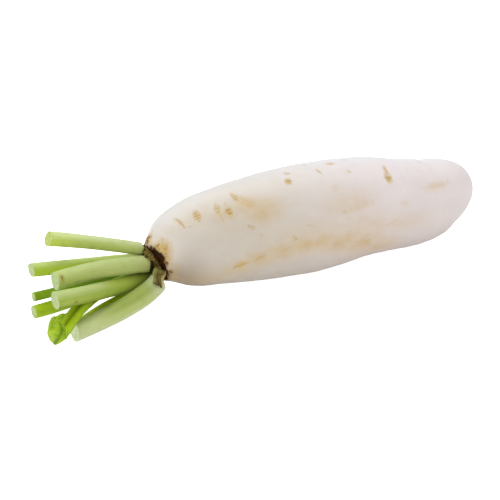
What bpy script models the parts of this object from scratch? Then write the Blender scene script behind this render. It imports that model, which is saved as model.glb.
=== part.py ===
"""A white radish lying on its side, with its crown, nine cut leaf stalks and withered leaf bases.

Metres, +Z up. +X runs from the crown to the tip. The origin is the middle of the small flat spot
that the root rests on.
"""

import math

import bmesh
import bpy
from mathutils import Vector

# Root: x, radius, y and z of its centre-line at each station, from the crown's edge to the tip
ROOT_STATIONS = (
    (-0.1215, 0.0155, -0.0065, 0.0304),
    (-0.1204, 0.0164, -0.0064, 0.0306),
    (-0.1165, 0.0193, -0.0059, 0.0317),
    (-0.1090, 0.0250, -0.0049, 0.0337),
    (-0.0970, 0.0292, -0.0034, 0.0362),
    (-0.0780, 0.0327, -0.0019, 0.0381),
    (-0.0450, 0.0363, -0.0006, 0.0382),
    (-0.0050, 0.0383, 0.0001, 0.0376),
    (0.0350, 0.0354, 0.0000, 0.0375),
    (0.0640, 0.0324, -0.0011, 0.0346),
    (0.0840, 0.0307, -0.0014, 0.0340),
    (0.0980, 0.0264, -0.0006, 0.0361),
    (0.1090, 0.0222, 0.0000, 0.0377),
    (0.1166, 0.0172, 0.0005, 0.0383),
    (0.1193, 0.0139, 0.0007, 0.0384),
    (0.1200, 0.0000, 0.0008, 0.0384),
)
ROOT_SIDES = 48
ROOT_RINGS = 54
SPAN_STEPS = 16

# Gentle waves in the skin: height, waves round the root, waves along it, phase
SKIN_WAVES = ((0.00030, 3, 2.0, 0.4), (0.00022, 5, 3.5, 2.1), (0.00018, 0, 9.0, 1.0))

# The waves fade out below this radius, and over this share of the root's length at the crown
FADE_RADIUS = 0.020
FADE_SHARE = 0.05

# Larger root scars as shallow dents: x, angle up from the front, length round, width along, depth
SCARS = (
    (-0.1030, 69, 0.016, 0.006, 0.0006),
    (-0.0610, 57, 0.014, 0.010, 0.0005),
    (-0.0250, 83, 0.009, 0.006, 0.0006),
    (0.0463, 63, 0.010, 0.006, 0.0007),
    (0.0830, 46, 0.012, 0.009, 0.0005),
    (-0.0480, 190, 0.012, 0.006, 0.0006),
    (0.0310, 225, 0.011, 0.006, 0.0006),
    (-0.0040, 148, 0.010, 0.006, 0.0005),
)

# Tail stub at the tip: how far it stands out and its radius
TAIL_LENGTH = 0.0012
TAIL_RADIUS = 0.0030
TAIL_TAPER = 0.7

# Crown: its axis, and height above the skin's edge and radius of the rings of its side
CROWN_AXIS = Vector((-0.970, -0.116, -0.213)).normalized()
CROWN_SIDE = ((0.0007, 0.0145), (0.0017, 0.0149), (0.0030, 0.0152))
CROWN_TOP = 0.0040
CROWN_TURN_RINGS = 4

# How the root draws in near the crown. Its underside sits higher: by how much at the skin's edge and
# how far from it, by how much under the shoulder and between which distances that fades, and over
# which sines of the angle round the root. The skin's edge reaches further up the crown round one
# clock angle: by how much, over what spread, and how far down the skin that is felt. The shoulder
# behind that swells: by how much outwards and up the crown, over what spread, and between which
# distances from the edge it rises and fades.
UNDER_LIFT = 0.0030
UNDER_REACH = 0.0220
SHOULDER_LIFT = 0.0009
SHOULDER_FADE = (0.0450, 0.0650)
UNDER_SINES = (-0.10, -0.80)
EDGE_SHIFT = 0.0024
EDGE_CLOCK = 100
EDGE_SPREAD = 22
EDGE_REACH = 0.0100
SWELL = 0.0007
SWELL_SPREAD = 34
SWELL_RISE = (0.0, 0.0030)
SWELL_FADE = (0.0090, 0.0220)

# Rim of old leaf bases round the crown's top: outer and inner radius, and its stretches that stand
# higher, as clock angle from, clock angle to and height
RIM_OUTER = 0.0151
RIM_INNER = 0.0138
RIM_STRETCHES = ((48, 88, 0.0068), (130, 200, 0.0060))
RIM_LOW = 0.0041
RIM_FADE = 10
RIM_ROUNDING = 0.0002
RIM_SHOULDER = 0.0007
RIM_RAGS = ((0.0004, 0.31), (0.0002, 0.83))
SCAR_SCALES = 9
SCALE_RELIEF = 0.0006
SCALE_MIDDLE = 0.4
SCALE_SLANT = 0.5

# Leaf stalks: foot on the crown (towards the viewer, up), knee and cut end, and the radii of foot,
# middle and end. The knee is the point that the curve bends towards.
STALKS = {
    "stalk_1": (
        (-0.0030, 0.0130),
        (-0.1550, 0.0030, 0.0495),
        (-0.1850, 0.0206, 0.0500),
        (0.0044, 0.0045, 0.0050),
    ),
    "stalk_2": (
        (-0.0065, 0.0035),
        (-0.1570, 0.0095, 0.0305),
        (-0.1985, 0.0200, 0.0295),
        (0.0039, 0.0044, 0.0047),
    ),
    "stalk_3": (
        (0.0055, 0.0058),
        (-0.1575, -0.0085, 0.0386),
        (-0.1905, -0.0133, 0.0378),
        (0.0056, 0.0061, 0.0059),
    ),
    "stalk_4": (
        (-0.0100, -0.0020),
        (-0.1565, 0.0120, 0.0145),
        (-0.2005, 0.0125, 0.0135),
        (0.0024, 0.0029, 0.0031),
    ),
    "stalk_5": (
        (0.0010, -0.0062),
        (-0.1500, -0.0182, 0.0251),
        (-0.1955, -0.0316, 0.0353),
        (0.0046, 0.0055, 0.0058),
    ),
    "stalk_6": (
        (-0.0105, -0.0090),
        (-0.1585, 0.0145, 0.0030),
        (-0.2025, 0.0060, 0.0060),
        (0.0034, 0.0044, 0.0044),
    ),
    "leafy_stalk": (
        (-0.0030, -0.0135),
        (-0.1600, 0.0030, 0.0245),
        (-0.1945, -0.0400, 0.0175),
        (0.0032, 0.0042, 0.0046),
    ),
    "stalk_8": (
        (0.0125, -0.0035),
        (-0.1350, -0.0320, 0.0210),
        (-0.1845, -0.0285, 0.0070),
        (0.0064, 0.0069, 0.0064),
    ),
    "stalk_9": (
        (0.0050, -0.0140),
        (-0.1455, -0.0045, 0.0125),
        (-0.1810, -0.0185, 0.0040),
        (0.0029, 0.0035, 0.0034),
    ),
}
STALK_SIDES = 14
STALK_RINGS = 18
RING_CROWDING = 1.4
STALK_MIDDLE = 0.35
FOOT_NECK = 0.72
FOOT_REACH = 0.0030
CHANNEL_DEPTH = 0.07
CHANNEL_WIDTH = 0.6
FOOT_GAP = 0.0005
SLANT_REACH = 2.5

# The stalks were cut with the same slanting stroke, all but one
CUT_NORMAL = Vector((-0.978, -0.180, 0.100)).normalized()
OWN_CUTS = {"stalk_1": Vector((-0.910, 0.000, 0.410)).normalized()}

# Scrap of leaf blade on the leafy stalk: it starts behind the cut end, widens, and droops past it
BLADE_BACK = 0.0210
BLADE_PAST = 0.0078
BLADE_OUTER = 0.0100
BLADE_OUTER_START = 0.08
BLADE_INNER = 0.0050
BLADE_WIDEST = 0.66
BLADE_GROWTH = 1.6
BLADE_TAIL_END = 1.01
BLADE_LOBES = 0.05
BLADE_LOBE_HALVES = 5
BLADE_THICKNESS = 0.0010
BLADE_CRINKLE = 0.0011
BLADE_RIPPLES = (10.0, 3.0)
BLADE_CROSS_RIPPLES = (6.0, 2.0)
BLADE_CURL = 0.0030
BLADE_STEPS = (18, 12)
BLADE_DROOP = (-0.54, 0.00, -0.72)
BLADE_ONWARD = 0.45
BLADE_FACING = Vector((-0.344, -0.795, 0.500))

# Withered leaf bases on the crown's side: clock angle, foot height, length, width, lean outwards,
# and how far the scale is turned down the clock. The first hugs the foot of a stalk.
WITHERED = {
    "withered_base_1": (21, 0.0022, 0.0108, 0.0084, 14, 42),
    "withered_base_2": (150, 0.0012, 0.0085, 0.0080, 14, 0),
    "withered_base_3": (188, 0.0010, 0.0060, 0.0070, 24, 0),
}
WITHERED_RADIUS = 0.0165
WITHERED_NARROWING = 0.55
WITHERED_NARROWING_POWER = 2.2
WITHERED_BEND_POWER = 1.1
WITHERED_CURL = 0.0006
WITHERED_CURL_WAVES = (7.0, 2.5)
HUGGED_STALK = "stalk_8"
HUG_GAP = 0.0012
HUG_STEPS = 60
WITHERED_THICKNESS = 0.0013
WITHERED_STEPS = (8, 8)

# Colour, roughness
FINISHES = {
    "root": ((0.80, 0.76, 0.72, 1.0), 0.38),
    "stalk": ((0.42, 0.55, 0.16, 1.0), 0.42),
    "leaf": ((0.30, 0.52, 0.06, 1.0), 0.50),
    "withered": ((0.20, 0.14, 0.05, 1.0), 0.75),
}


def clear_scene():
    """Remove whatever the file starts with."""
    for old in list(bpy.data.objects):
        bpy.data.objects.remove(old, do_unlink=True)


def make_material(name, finish):
    """A Principled material of one of the finishes."""
    colour, roughness = FINISHES[finish]
    material = bpy.data.materials.new(name)
    material.use_nodes = True
    shader = material.node_tree.nodes["Principled BSDF"]
    shader.inputs["Base Color"].default_value = colour
    shader.inputs["Roughness"].default_value = roughness
    shader.inputs["Metallic"].default_value = 0.0
    material.diffuse_color = colour
    return material


def add_object(name, bm, finish, sharp=40):
    """Turn a bmesh into an object with its own material, smooth but for its sharp edges."""
    bmesh.ops.recalc_face_normals(bm, faces=bm.faces)
    mesh = bpy.data.meshes.new(name)
    bm.to_mesh(mesh)
    bm.free()
    mesh.materials.append(make_material(name, finish))
    mesh.shade_smooth()
    mesh.set_sharp_from_angle(angle=math.radians(sharp))
    piece = bpy.data.objects.new(name, mesh)
    bpy.context.collection.objects.link(piece)
    return piece


def spline(stations, steps):
    """Points of a smooth curve through the stations. It turns round at the last, the root's tip."""
    ahead = tuple(2 * a - b for a, b in zip(stations[0], stations[1]))
    back = list(stations[-2])
    back[1] = -back[1]
    knots = [ahead, *stations, tuple(back)]
    points = []
    for before, start, end, after in zip(knots, knots[1:], knots[2:], knots[3:]):
        for step in range(steps):
            s = step / steps
            point = []
            for a, b, c, d in zip(before, start, end, after):
                square = 2 * a - 5 * b + 4 * c - d
                cube = 3 * b - 3 * c + d - a
                point.append(0.5 * (2 * b + (c - a) * s + square * s**2 + cube * s**3))
            points.append(point)
    points.append(list(stations[-1]))
    return points


def even_rings(points, count):
    """Points at even steps along the outline's own length, so that the blunt tip gets its share."""
    lengths = [0.0]
    for a, b in zip(points, points[1:]):
        lengths.append(lengths[-1] + math.hypot(b[0] - a[0], b[1] - a[1]))
    rings = []
    at = 0
    for ring in range(count):
        goal = lengths[-1] * ring / count
        while lengths[at + 1] < goal:
            at += 1
        share = (goal - lengths[at]) / (lengths[at + 1] - lengths[at])
        rings.append([a + share * (b - a) for a, b in zip(points[at], points[at + 1])])
    return rings


def cross_frame(axis):
    """Two directions across an axis: towards the viewer's side, and up."""
    side = Vector((0, 0, 1)).cross(axis).normalized()
    if side.y > 0:
        side = -side
    up = axis.cross(side)
    if up.z < 0:
        up = -up
    return side, up


def crown_point(toward, up, height):
    """A point over the crown's top: towards the viewer, up, and out along the crown's axis."""
    edge = ROOT_STATIONS[0]
    side_way, up_way = cross_frame(CROWN_AXIS)
    foot = Vector((edge[0], edge[2], edge[3]))
    return foot + height * CROWN_AXIS + toward * side_way + up * up_way


def ease(low, high, value):
    """Rise smoothly from 0 at low to 1 at high."""
    share = min(1.0, max(0.0, (value - low) / (high - low)))
    return share * share * (3 - 2 * share)


def drawn_in(place):
    """A point of the root or crown, moved as the root draws in at the crown."""
    side, up = cross_frame(CROWN_AXIS)
    away = place - crown_point(0, 0, 0)
    depth = -away.dot(CROWN_AXIS)
    toward = away.dot(side)
    high = away.dot(up)
    under = ease(*UNDER_SINES, high / math.hypot(toward, high))
    lift = UNDER_LIFT * (1 - ease(0.0, UNDER_REACH, depth))
    lift += SHOULDER_LIFT * (1 - ease(*SHOULDER_FADE, depth))
    turn = math.remainder(math.degrees(math.atan2(high, toward)) - EDGE_CLOCK, 360)
    felt = 1 - ease(0.0, EDGE_REACH, depth) if depth > 0 else 1 - min(1.0, -depth / CROWN_TOP)
    shift = EDGE_SHIFT * math.exp(-((turn / EDGE_SPREAD) ** 2)) * felt
    swell = SWELL * math.exp(-((turn / SWELL_SPREAD) ** 2))
    swell *= ease(*SWELL_RISE, depth) * (1 - ease(*SWELL_FADE, depth))
    return place + (under * lift + swell) * up + (shift + swell) * CROWN_AXIS


def skin_height(x, angle, radius):
    """How far the skin stands out from the plain round at a place: waves less scars."""
    length = ROOT_STATIONS[-1][0] - ROOT_STATIONS[0][0]
    along = (x - ROOT_STATIONS[0][0]) / length
    fade = min(1.0, radius / FADE_RADIUS) * min(1.0, along / FADE_SHARE)
    height = sum(
        h * math.sin(n * angle + 2 * math.pi * k * along + phase) for h, n, k, phase in SKIN_WAVES
    )
    for scar_x, scar_angle, scar_length, scar_width, depth in SCARS:
        turn = math.remainder(angle - math.radians(scar_angle), 2 * math.pi)
        far = (turn * radius / (scar_length / 2)) ** 2 + ((x - scar_x) / (scar_width / 2)) ** 2
        height -= depth * math.exp(-far)
    return height * fade


def scale_height(angle, height):
    """Relief of the old leaf scars round the crown: each overlaps the next like a roof tile."""
    turn = (angle / (2 * math.pi) * SCAR_SCALES + height / CROWN_TOP * SCALE_SLANT) % 1.0
    return SCALE_RELIEF * (turn**2 - SCALE_MIDDLE)


def rim_height(angle):
    """Height of the rim round the crown's top: ragged where old leaf bases stand, else low."""
    clock = math.degrees(angle)
    height = RIM_LOW
    for start, stop, top in RIM_STRETCHES:
        inside = min(clock - start, stop - clock)
        share = min(1.0, max(0.0, inside / RIM_FADE))
        ragged = top + sum(size * math.sin(rate * clock) for size, rate in RIM_RAGS)
        height += (ragged - RIM_LOW) * share
    return height


def add_ring(bm, centre, side, up, radii):
    """A ring of vertices round a centre, one for each radius."""
    ring = []
    for k, radius in enumerate(radii):
        angle = 2 * math.pi * k / len(radii)
        ring.append(bm.verts.new(centre + radius * (math.cos(angle) * side + math.sin(angle) * up)))
    return ring


def bridge(bm, rings):
    """Faces between each ring and the next."""
    for low, high in zip(rings, rings[1:]):
        for k in range(len(low)):
            after = (k + 1) % len(low)
            bm.faces.new((low[k], low[after], high[after], high[k]))


def make_root():
    """The swollen root with its crown, in one body that rests on a flat spot."""
    bm = bmesh.new()
    angles = [2 * math.pi * k / ROOT_SIDES for k in range(ROOT_SIDES)]
    rims = [rim_height(angle) for angle in angles]
    scales = [scale_height(angle, CROWN_TOP) for angle in angles]
    rim_middle = 0.5 * (RIM_INNER + RIM_OUTER)
    profile = [
        ([CROWN_TOP] * ROOT_SIDES, [RIM_INNER - RIM_ROUNDING] * ROOT_SIDES),
        ([max(CROWN_TOP, rim - RIM_ROUNDING) for rim in rims], [RIM_INNER] * ROOT_SIDES),
        (rims, [rim_middle + scale / 2 for scale in scales]),
        ([rim - RIM_SHOULDER for rim in rims], [RIM_OUTER + scale for scale in scales]),
    ]
    for height, radius in reversed(CROWN_SIDE):
        relief = [scale_height(angle, height) for angle in angles]
        profile.append(([height] * ROOT_SIDES, [radius + r for r in relief]))
    rings = []
    for heights, radii in profile:
        ring = []
        for angle, height, radius in zip(angles, heights, radii):
            place = crown_point(radius * math.cos(angle), radius * math.sin(angle), height)
            ring.append(bm.verts.new(place))
        rings.append(ring)
    bm.faces.new(rings[0])
    outline = even_rings(spline(ROOT_STATIONS, SPAN_STEPS), ROOT_RINGS)
    for at, (x, radius, y, z) in enumerate(outline):
        before = outline[max(at - 1, 0)]
        after = outline[min(at + 1, ROOT_RINGS - 1)]
        run = Vector((before[0] - after[0], before[2] - after[2], before[3] - after[3])).normalized()
        turned = min(1.0, at / CROWN_TURN_RINGS)
        side, up = cross_frame(CROWN_AXIS.lerp(run, turned).normalized())
        radii = [radius + skin_height(x, angle, radius) for angle in angles]
        rings.append(add_ring(bm, Vector((x, y, z)), side, up, radii))
    tip = Vector((ROOT_STATIONS[-1][0], ROOT_STATIONS[-1][2], ROOT_STATIONS[-1][3]))
    side, up = cross_frame(Vector((-1, 0, 0)))
    rings.append(add_ring(bm, tip, side, up, [TAIL_RADIUS] * ROOT_SIDES))
    end = tip + Vector((TAIL_LENGTH, 0, 0))
    rings.append(add_ring(bm, end, side, up, [TAIL_RADIUS * TAIL_TAPER] * ROOT_SIDES))
    bridge(bm, rings)
    bm.faces.new(rings[-1])
    for vert in bm.verts:
        vert.co = drawn_in(vert.co)
    cut = bmesh.ops.bisect_plane(
        bm,
        geom=bm.verts[:] + bm.edges[:] + bm.faces[:],
        dist=1e-6,
        plane_co=(0, 0, 0),
        plane_no=(0, 0, -1),
        clear_outer=True,
    )
    rim = [item for item in cut["geom_cut"] if isinstance(item, bmesh.types.BMEdge)]
    bmesh.ops.edgeloop_fill(bm, edges=rim)
    return add_object("root", bm, "root")


def bezier(foot, knee, end, t):
    """Point and direction of travel on the curve from a stalk's foot to its end."""
    point = (1 - t) ** 2 * foot + 2 * t * (1 - t) * knee + t**2 * end
    run = 2 * (1 - t) * (knee - foot) + 2 * t * (end - knee)
    return point, run.normalized()


def stalk_radius(t, radii):
    """The plain radius of a stalk along its length."""
    foot, middle, end = radii
    if t < STALK_MIDDLE:
        return foot + (middle - foot) * t / STALK_MIDDLE
    return middle + (end - middle) * (t - STALK_MIDDLE) / (1 - STALK_MIDDLE)


def stalk_mesh(name):
    """A bent stalk with a shallow channel on its upper side, a rounded foot and a slanting cut."""
    (toward, up), knee, end, radii = STALKS[name]
    foot = crown_point(toward, up, CROWN_TOP + FOOT_GAP)
    cut = OWN_CUTS.get(name, CUT_NORMAL)
    knee = Vector(knee)
    end = Vector(end)
    bm = bmesh.new()
    rings = []
    for step in range(STALK_RINGS):
        t = (step / (STALK_RINGS - 1)) ** RING_CROWDING
        point, run = bezier(foot, knee, end, t)
        side, upward = cross_frame(-run)
        radius = stalk_radius(t, radii)
        from_foot = (point - foot).length
        from_end = (end - point).length
        radius *= FOOT_NECK + (1 - FOOT_NECK) * math.sin(min(1.0, from_foot / FOOT_REACH) * math.pi / 2)
        reach = SLANT_REACH * radius
        ring = []
        for k in range(STALK_SIDES):
            angle = 2 * math.pi * k / STALK_SIDES
            turn = math.remainder(angle - math.pi / 2, 2 * math.pi)
            r = radius * (1 - CHANNEL_DEPTH * math.exp(-((turn / CHANNEL_WIDTH) ** 2)))
            vertex = point + r * (math.cos(angle) * side + math.sin(angle) * upward)
            for normal, far in ((CROWN_AXIS, from_foot), (cut, from_end)):
                if far < reach:
                    slide = (point - vertex).dot(normal) / run.dot(normal)
                    vertex += run * slide * (1 - far / reach) ** 2
            ring.append(bm.verts.new(vertex))
        rings.append(ring)
    bridge(bm, rings)
    bm.faces.new(rings[0])
    bm.faces.new(rings[-1])
    return bm


def make_stalk(name):
    """One bare stalk."""
    return add_object(name, stalk_mesh(name), "stalk")


def sheet(bm, points, normals, thickness):
    """A closed curved sheet with the given thickness, from a grid of points and normals."""
    rows, columns = len(points), len(points[0])
    faces = []
    for way in (0.5, -0.5):
        faces.append([
            [bm.verts.new(points[i][j] + normals[i][j] * thickness * way) for j in range(columns)]
            for i in range(rows)
        ])
    for grid in faces:
        for i in range(rows - 1):
            for j in range(columns - 1):
                a, b, c, d = grid[i][j], grid[i][j + 1], grid[i + 1][j + 1], grid[i + 1][j]
                bm.faces.new((a, b, c))
                bm.faces.new((a, c, d))
    top, under = faces
    border = [(0, j) for j in range(columns)] + [(i, columns - 1) for i in range(1, rows)]
    border += [(rows - 1, j) for j in range(columns - 2, -1, -1)] + [(i, 0) for i in range(rows - 2, 0, -1)]
    for (i, j), (m, n) in zip(border, border[1:] + border[:1]):
        bm.faces.new((top[i][j], top[m][n], under[m][n], under[i][j]))


def grid_normals(points):
    """The normal at each point of a grid, from its neighbours."""
    rows, columns = len(points), len(points[0])
    normals = []
    for i in range(rows):
        row = []
        for j in range(columns):
            along = points[min(i + 1, rows - 1)][j] - points[max(i - 1, 0)][j]
            across = points[i][min(j + 1, columns - 1)] - points[i][max(j - 1, 0)]
            row.append(along.cross(across).normalized())
        normals.append(row)
    return normals


def blade_reach(share):
    """How far the leaf scrap reaches out and in along its length: it widens in lobes, ends round."""
    grown = math.sin(math.pi / 2 * min(1.0, share / BLADE_WIDEST)) ** BLADE_GROWTH
    late = max(0.0, share - BLADE_WIDEST) / (BLADE_TAIL_END - BLADE_WIDEST)
    tail = math.sqrt(1 - late**2)
    lobes = 1 + BLADE_LOBES * math.sin(BLADE_LOBE_HALVES * math.pi * share)
    outer = BLADE_OUTER * (BLADE_OUTER_START + (1 - BLADE_OUTER_START) * grown) * tail * lobes
    return outer, BLADE_INNER * tail


def make_leafy_stalk():
    """The stalk that still has a crinkled scrap of its blade, in one body."""
    stalk = add_object("leafy_stalk", stalk_mesh("leafy_stalk"), "leaf")
    (toward, up), knee, end, _ = STALKS["leafy_stalk"]
    foot = crown_point(toward, up, CROWN_TOP + FOOT_GAP)
    end = Vector(end)
    run = bezier(foot, Vector(knee), end, 1.0)[1]
    facing = (BLADE_FACING - BLADE_FACING.dot(run) * run).normalized()
    out = facing.cross(run)
    if out.x > 0:
        out = -out
    past_end = BLADE_ONWARD * run + Vector(BLADE_DROOP)
    rows, columns = BLADE_STEPS
    ripple, ripple_out = BLADE_RIPPLES
    cross_ripple, cross_shift = BLADE_CROSS_RIPPLES
    points = []
    for i in range(rows + 1):
        share = i / rows
        along = -BLADE_BACK + (BLADE_BACK + BLADE_PAST) * share
        spine = end + min(along, 0.0) * run + max(along, 0.0) * past_end
        outer, inner = blade_reach(share)
        row = []
        for j in range(columns + 1):
            across = -inner + (outer + inner) * j / columns
            reach = max(0.0, across) / BLADE_OUTER
            wave = math.sin(ripple * share + ripple_out * reach)
            wave *= math.cos(cross_ripple * reach - cross_shift * share)
            lift = BLADE_CRINKLE * wave * reach + BLADE_CURL * reach**2
            row.append(spine + across * out + lift * facing)
        points.append(row)
    bm = bmesh.new()
    sheet(bm, points, grid_normals(points), BLADE_THICKNESS)
    blade = add_object("leaf_blade", bm, "leaf")
    join = stalk.modifiers.new("Join blade", "BOOLEAN")
    join.operation = "UNION"
    join.solver = "MANIFOLD"
    join.object = blade
    bpy.context.view_layer.update()
    graph = bpy.context.evaluated_depsgraph_get()
    joined = bpy.data.meshes.new_from_object(stalk.evaluated_get(graph))
    stalk.modifiers.clear()
    stalk.data = joined
    bpy.data.objects.remove(blade, do_unlink=True)
    return stalk


def clear_of_stalk(point, name):
    """The point, pushed out of a stalk if it lies in it or too close."""
    (toward, up), knee, end, radii = STALKS[name]
    foot = crown_point(toward, up, CROWN_TOP + FOOT_GAP)
    nearest = None
    for step in range(HUG_STEPS + 1):
        t = step / HUG_STEPS
        centre, run = bezier(foot, Vector(knee), Vector(end), t)
        far = (point - centre).length
        if nearest is None or far < nearest[0]:
            nearest = (far, centre, run, stalk_radius(t, radii))
    _, centre, run, radius = nearest
    along = (point - centre).dot(run) * run
    away = point - centre - along
    if away.length < radius + HUG_GAP:
        return centre + along + away.normalized() * (radius + HUG_GAP)
    return point


def make_withered(name):
    """A short dry scale on the crown's rim, curved round it and leaning outwards."""
    clock, height, length, width, lean, turned = WITHERED[name]
    rows, columns = WITHERED_STEPS
    slope = math.tan(math.radians(lean))
    turned = math.radians(turned)
    waves_along, waves_across = WITHERED_CURL_WAVES
    points = []
    for i in range(rows + 1):
        share = i / rows
        breadth = width * (1 - WITHERED_NARROWING * share**WITHERED_NARROWING_POWER)
        radius = WITHERED_RADIUS + slope * length * share**WITHERED_BEND_POWER
        row = []
        for j in range(columns + 1):
            across = (j / columns - 0.5) * breadth
            along = length * share
            round_way = math.cos(turned) * across - math.sin(turned) * along
            rise = math.sin(turned) * across + math.cos(turned) * along
            angle = math.radians(clock) + round_way / WITHERED_RADIUS
            out = radius + WITHERED_CURL * math.sin(waves_along * share + waves_across * j / columns)
            at = crown_point(out * math.cos(angle), out * math.sin(angle), height + rise)
            row.append(clear_of_stalk(at, HUGGED_STALK))
        points.append(row)
    bm = bmesh.new()
    sheet(bm, points, grid_normals(points), WITHERED_THICKNESS)
    return add_object(name, bm, "withered")


def main():
    clear_scene()
    make_root()
    for name in STALKS:
        if name == "leafy_stalk":
            make_leafy_stalk()
        else:
            make_stalk(name)
    for name in WITHERED:
        make_withered(name)


main()
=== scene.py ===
"""The looks of a white radish that lies on its side with its leaf stalks cut short.

Metres, in the part's own frame: +X runs from the crown to the tip, +Z is up, and the root rests on
z = 0. Angles round the root count from the viewer's side (0) over the top (90).
"""

import math
import random

import bpy
import numpy as np
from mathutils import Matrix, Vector, noise


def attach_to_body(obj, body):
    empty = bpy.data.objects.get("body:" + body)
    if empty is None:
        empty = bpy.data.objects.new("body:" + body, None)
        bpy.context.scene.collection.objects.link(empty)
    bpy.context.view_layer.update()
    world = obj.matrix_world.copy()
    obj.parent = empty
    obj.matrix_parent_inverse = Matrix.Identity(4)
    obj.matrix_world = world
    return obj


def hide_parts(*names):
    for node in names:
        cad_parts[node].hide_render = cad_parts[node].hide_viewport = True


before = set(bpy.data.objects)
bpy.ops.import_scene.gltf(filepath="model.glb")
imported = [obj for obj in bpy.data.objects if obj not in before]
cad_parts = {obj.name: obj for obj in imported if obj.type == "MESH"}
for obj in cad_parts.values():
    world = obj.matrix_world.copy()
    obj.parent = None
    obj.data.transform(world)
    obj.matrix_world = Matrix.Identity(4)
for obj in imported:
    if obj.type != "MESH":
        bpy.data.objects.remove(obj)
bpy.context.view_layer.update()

# Camera: degrees round the part and above the floor, its distance, aim and lens
CAMERA_TURN = -23.42
CAMERA_RISE = 30.0
CAMERA_FAR = 0.7727
CAMERA_AIM = Vector((-0.0494, 0.0024, 0.0198))
CAMERA_LENS = 80.0

# Floor: its size, how far below the part it lies, and how it glows, more where the camera sees it.
# The sky lights the part evenly from all round.
FLOOR_SIZE = 60.0
FLOOR_DROP = 0.0002
FLOOR_GLOW = 0.10
FLOOR_GLOW_SEEN = 0.80
SKY_STRENGTH = 0.58

# Lamps: name, place, size, power and tint
LAMPS = (
    ("lamp_above", (-0.15, 0.65, 1.20), 1.4, 11.8, (0.92, 0.96, 1.0)),
    ("lamp_left", (-1.25, -0.75, 0.85), 1.0, 4.0, (1.0, 0.99, 0.96)),
    ("lamp_right", (1.20, -0.70, 0.70), 1.0, 2.6, (1.0, 1.0, 1.0)),
)

# Root: x and radius, y and z of its centre-line, from the skin's edge at the crown to the tip
ROOT_STATIONS = (
    (-0.1215, 0.0155, -0.0065, 0.0304),
    (-0.1204, 0.0164, -0.0064, 0.0306),
    (-0.1165, 0.0193, -0.0059, 0.0317),
    (-0.1090, 0.0250, -0.0049, 0.0337),
    (-0.0970, 0.0292, -0.0034, 0.0362),
    (-0.0780, 0.0327, -0.0019, 0.0381),
    (-0.0450, 0.0363, -0.0006, 0.0382),
    (-0.0050, 0.0383, 0.0001, 0.0376),
    (0.0350, 0.0354, 0.0000, 0.0375),
    (0.0640, 0.0324, -0.0011, 0.0346),
    (0.0840, 0.0307, -0.0014, 0.0340),
    (0.0980, 0.0264, -0.0006, 0.0361),
    (0.1090, 0.0222, 0.0000, 0.0377),
    (0.1166, 0.0172, 0.0005, 0.0383),
    (0.1193, 0.0139, 0.0007, 0.0384),
    (0.1200, 0.0000, 0.0008, 0.0384),
)

# How the root is lofted: its sides, its rings and how much closer they lie at its two ends, the steps
# between two stations, and how often the mesh is refined
ROOT_SIDES = 72
ROOT_RINGS = 76
RING_CROWDING = 0.55
SPAN_STEPS = 16
LOFT_LEVELS = 2

# The stub of the tap root: x and radius
TAIL_RINGS = ((0.1201, 0.0032), (0.1206, 0.0029), (0.1211, 0.0022), (0.1210, 0.0012))

# Gentle waves in the skin: height, waves round the root, waves along it, phase. They rise to their
# full height at this radius and this share of the length. Small bumps follow the finer of two noises,
# and fine wrinkles run across the root.
SKIN_WAVES = ((0.00018, 3, 2.0, 0.4), (0.00014, 5, 3.5, 2.1), (0.00010, 0, 9.0, 1.0))
WAVES_FULL_RADIUS = 0.020
WAVES_FULL_SHARE = 0.05
ROOT_NOISE = (220, 650)
SKIN_BUMPS = 0.00005
WRINKLE_HEIGHT = 0.00004
WRINKLE_TURNS = 620

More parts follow.
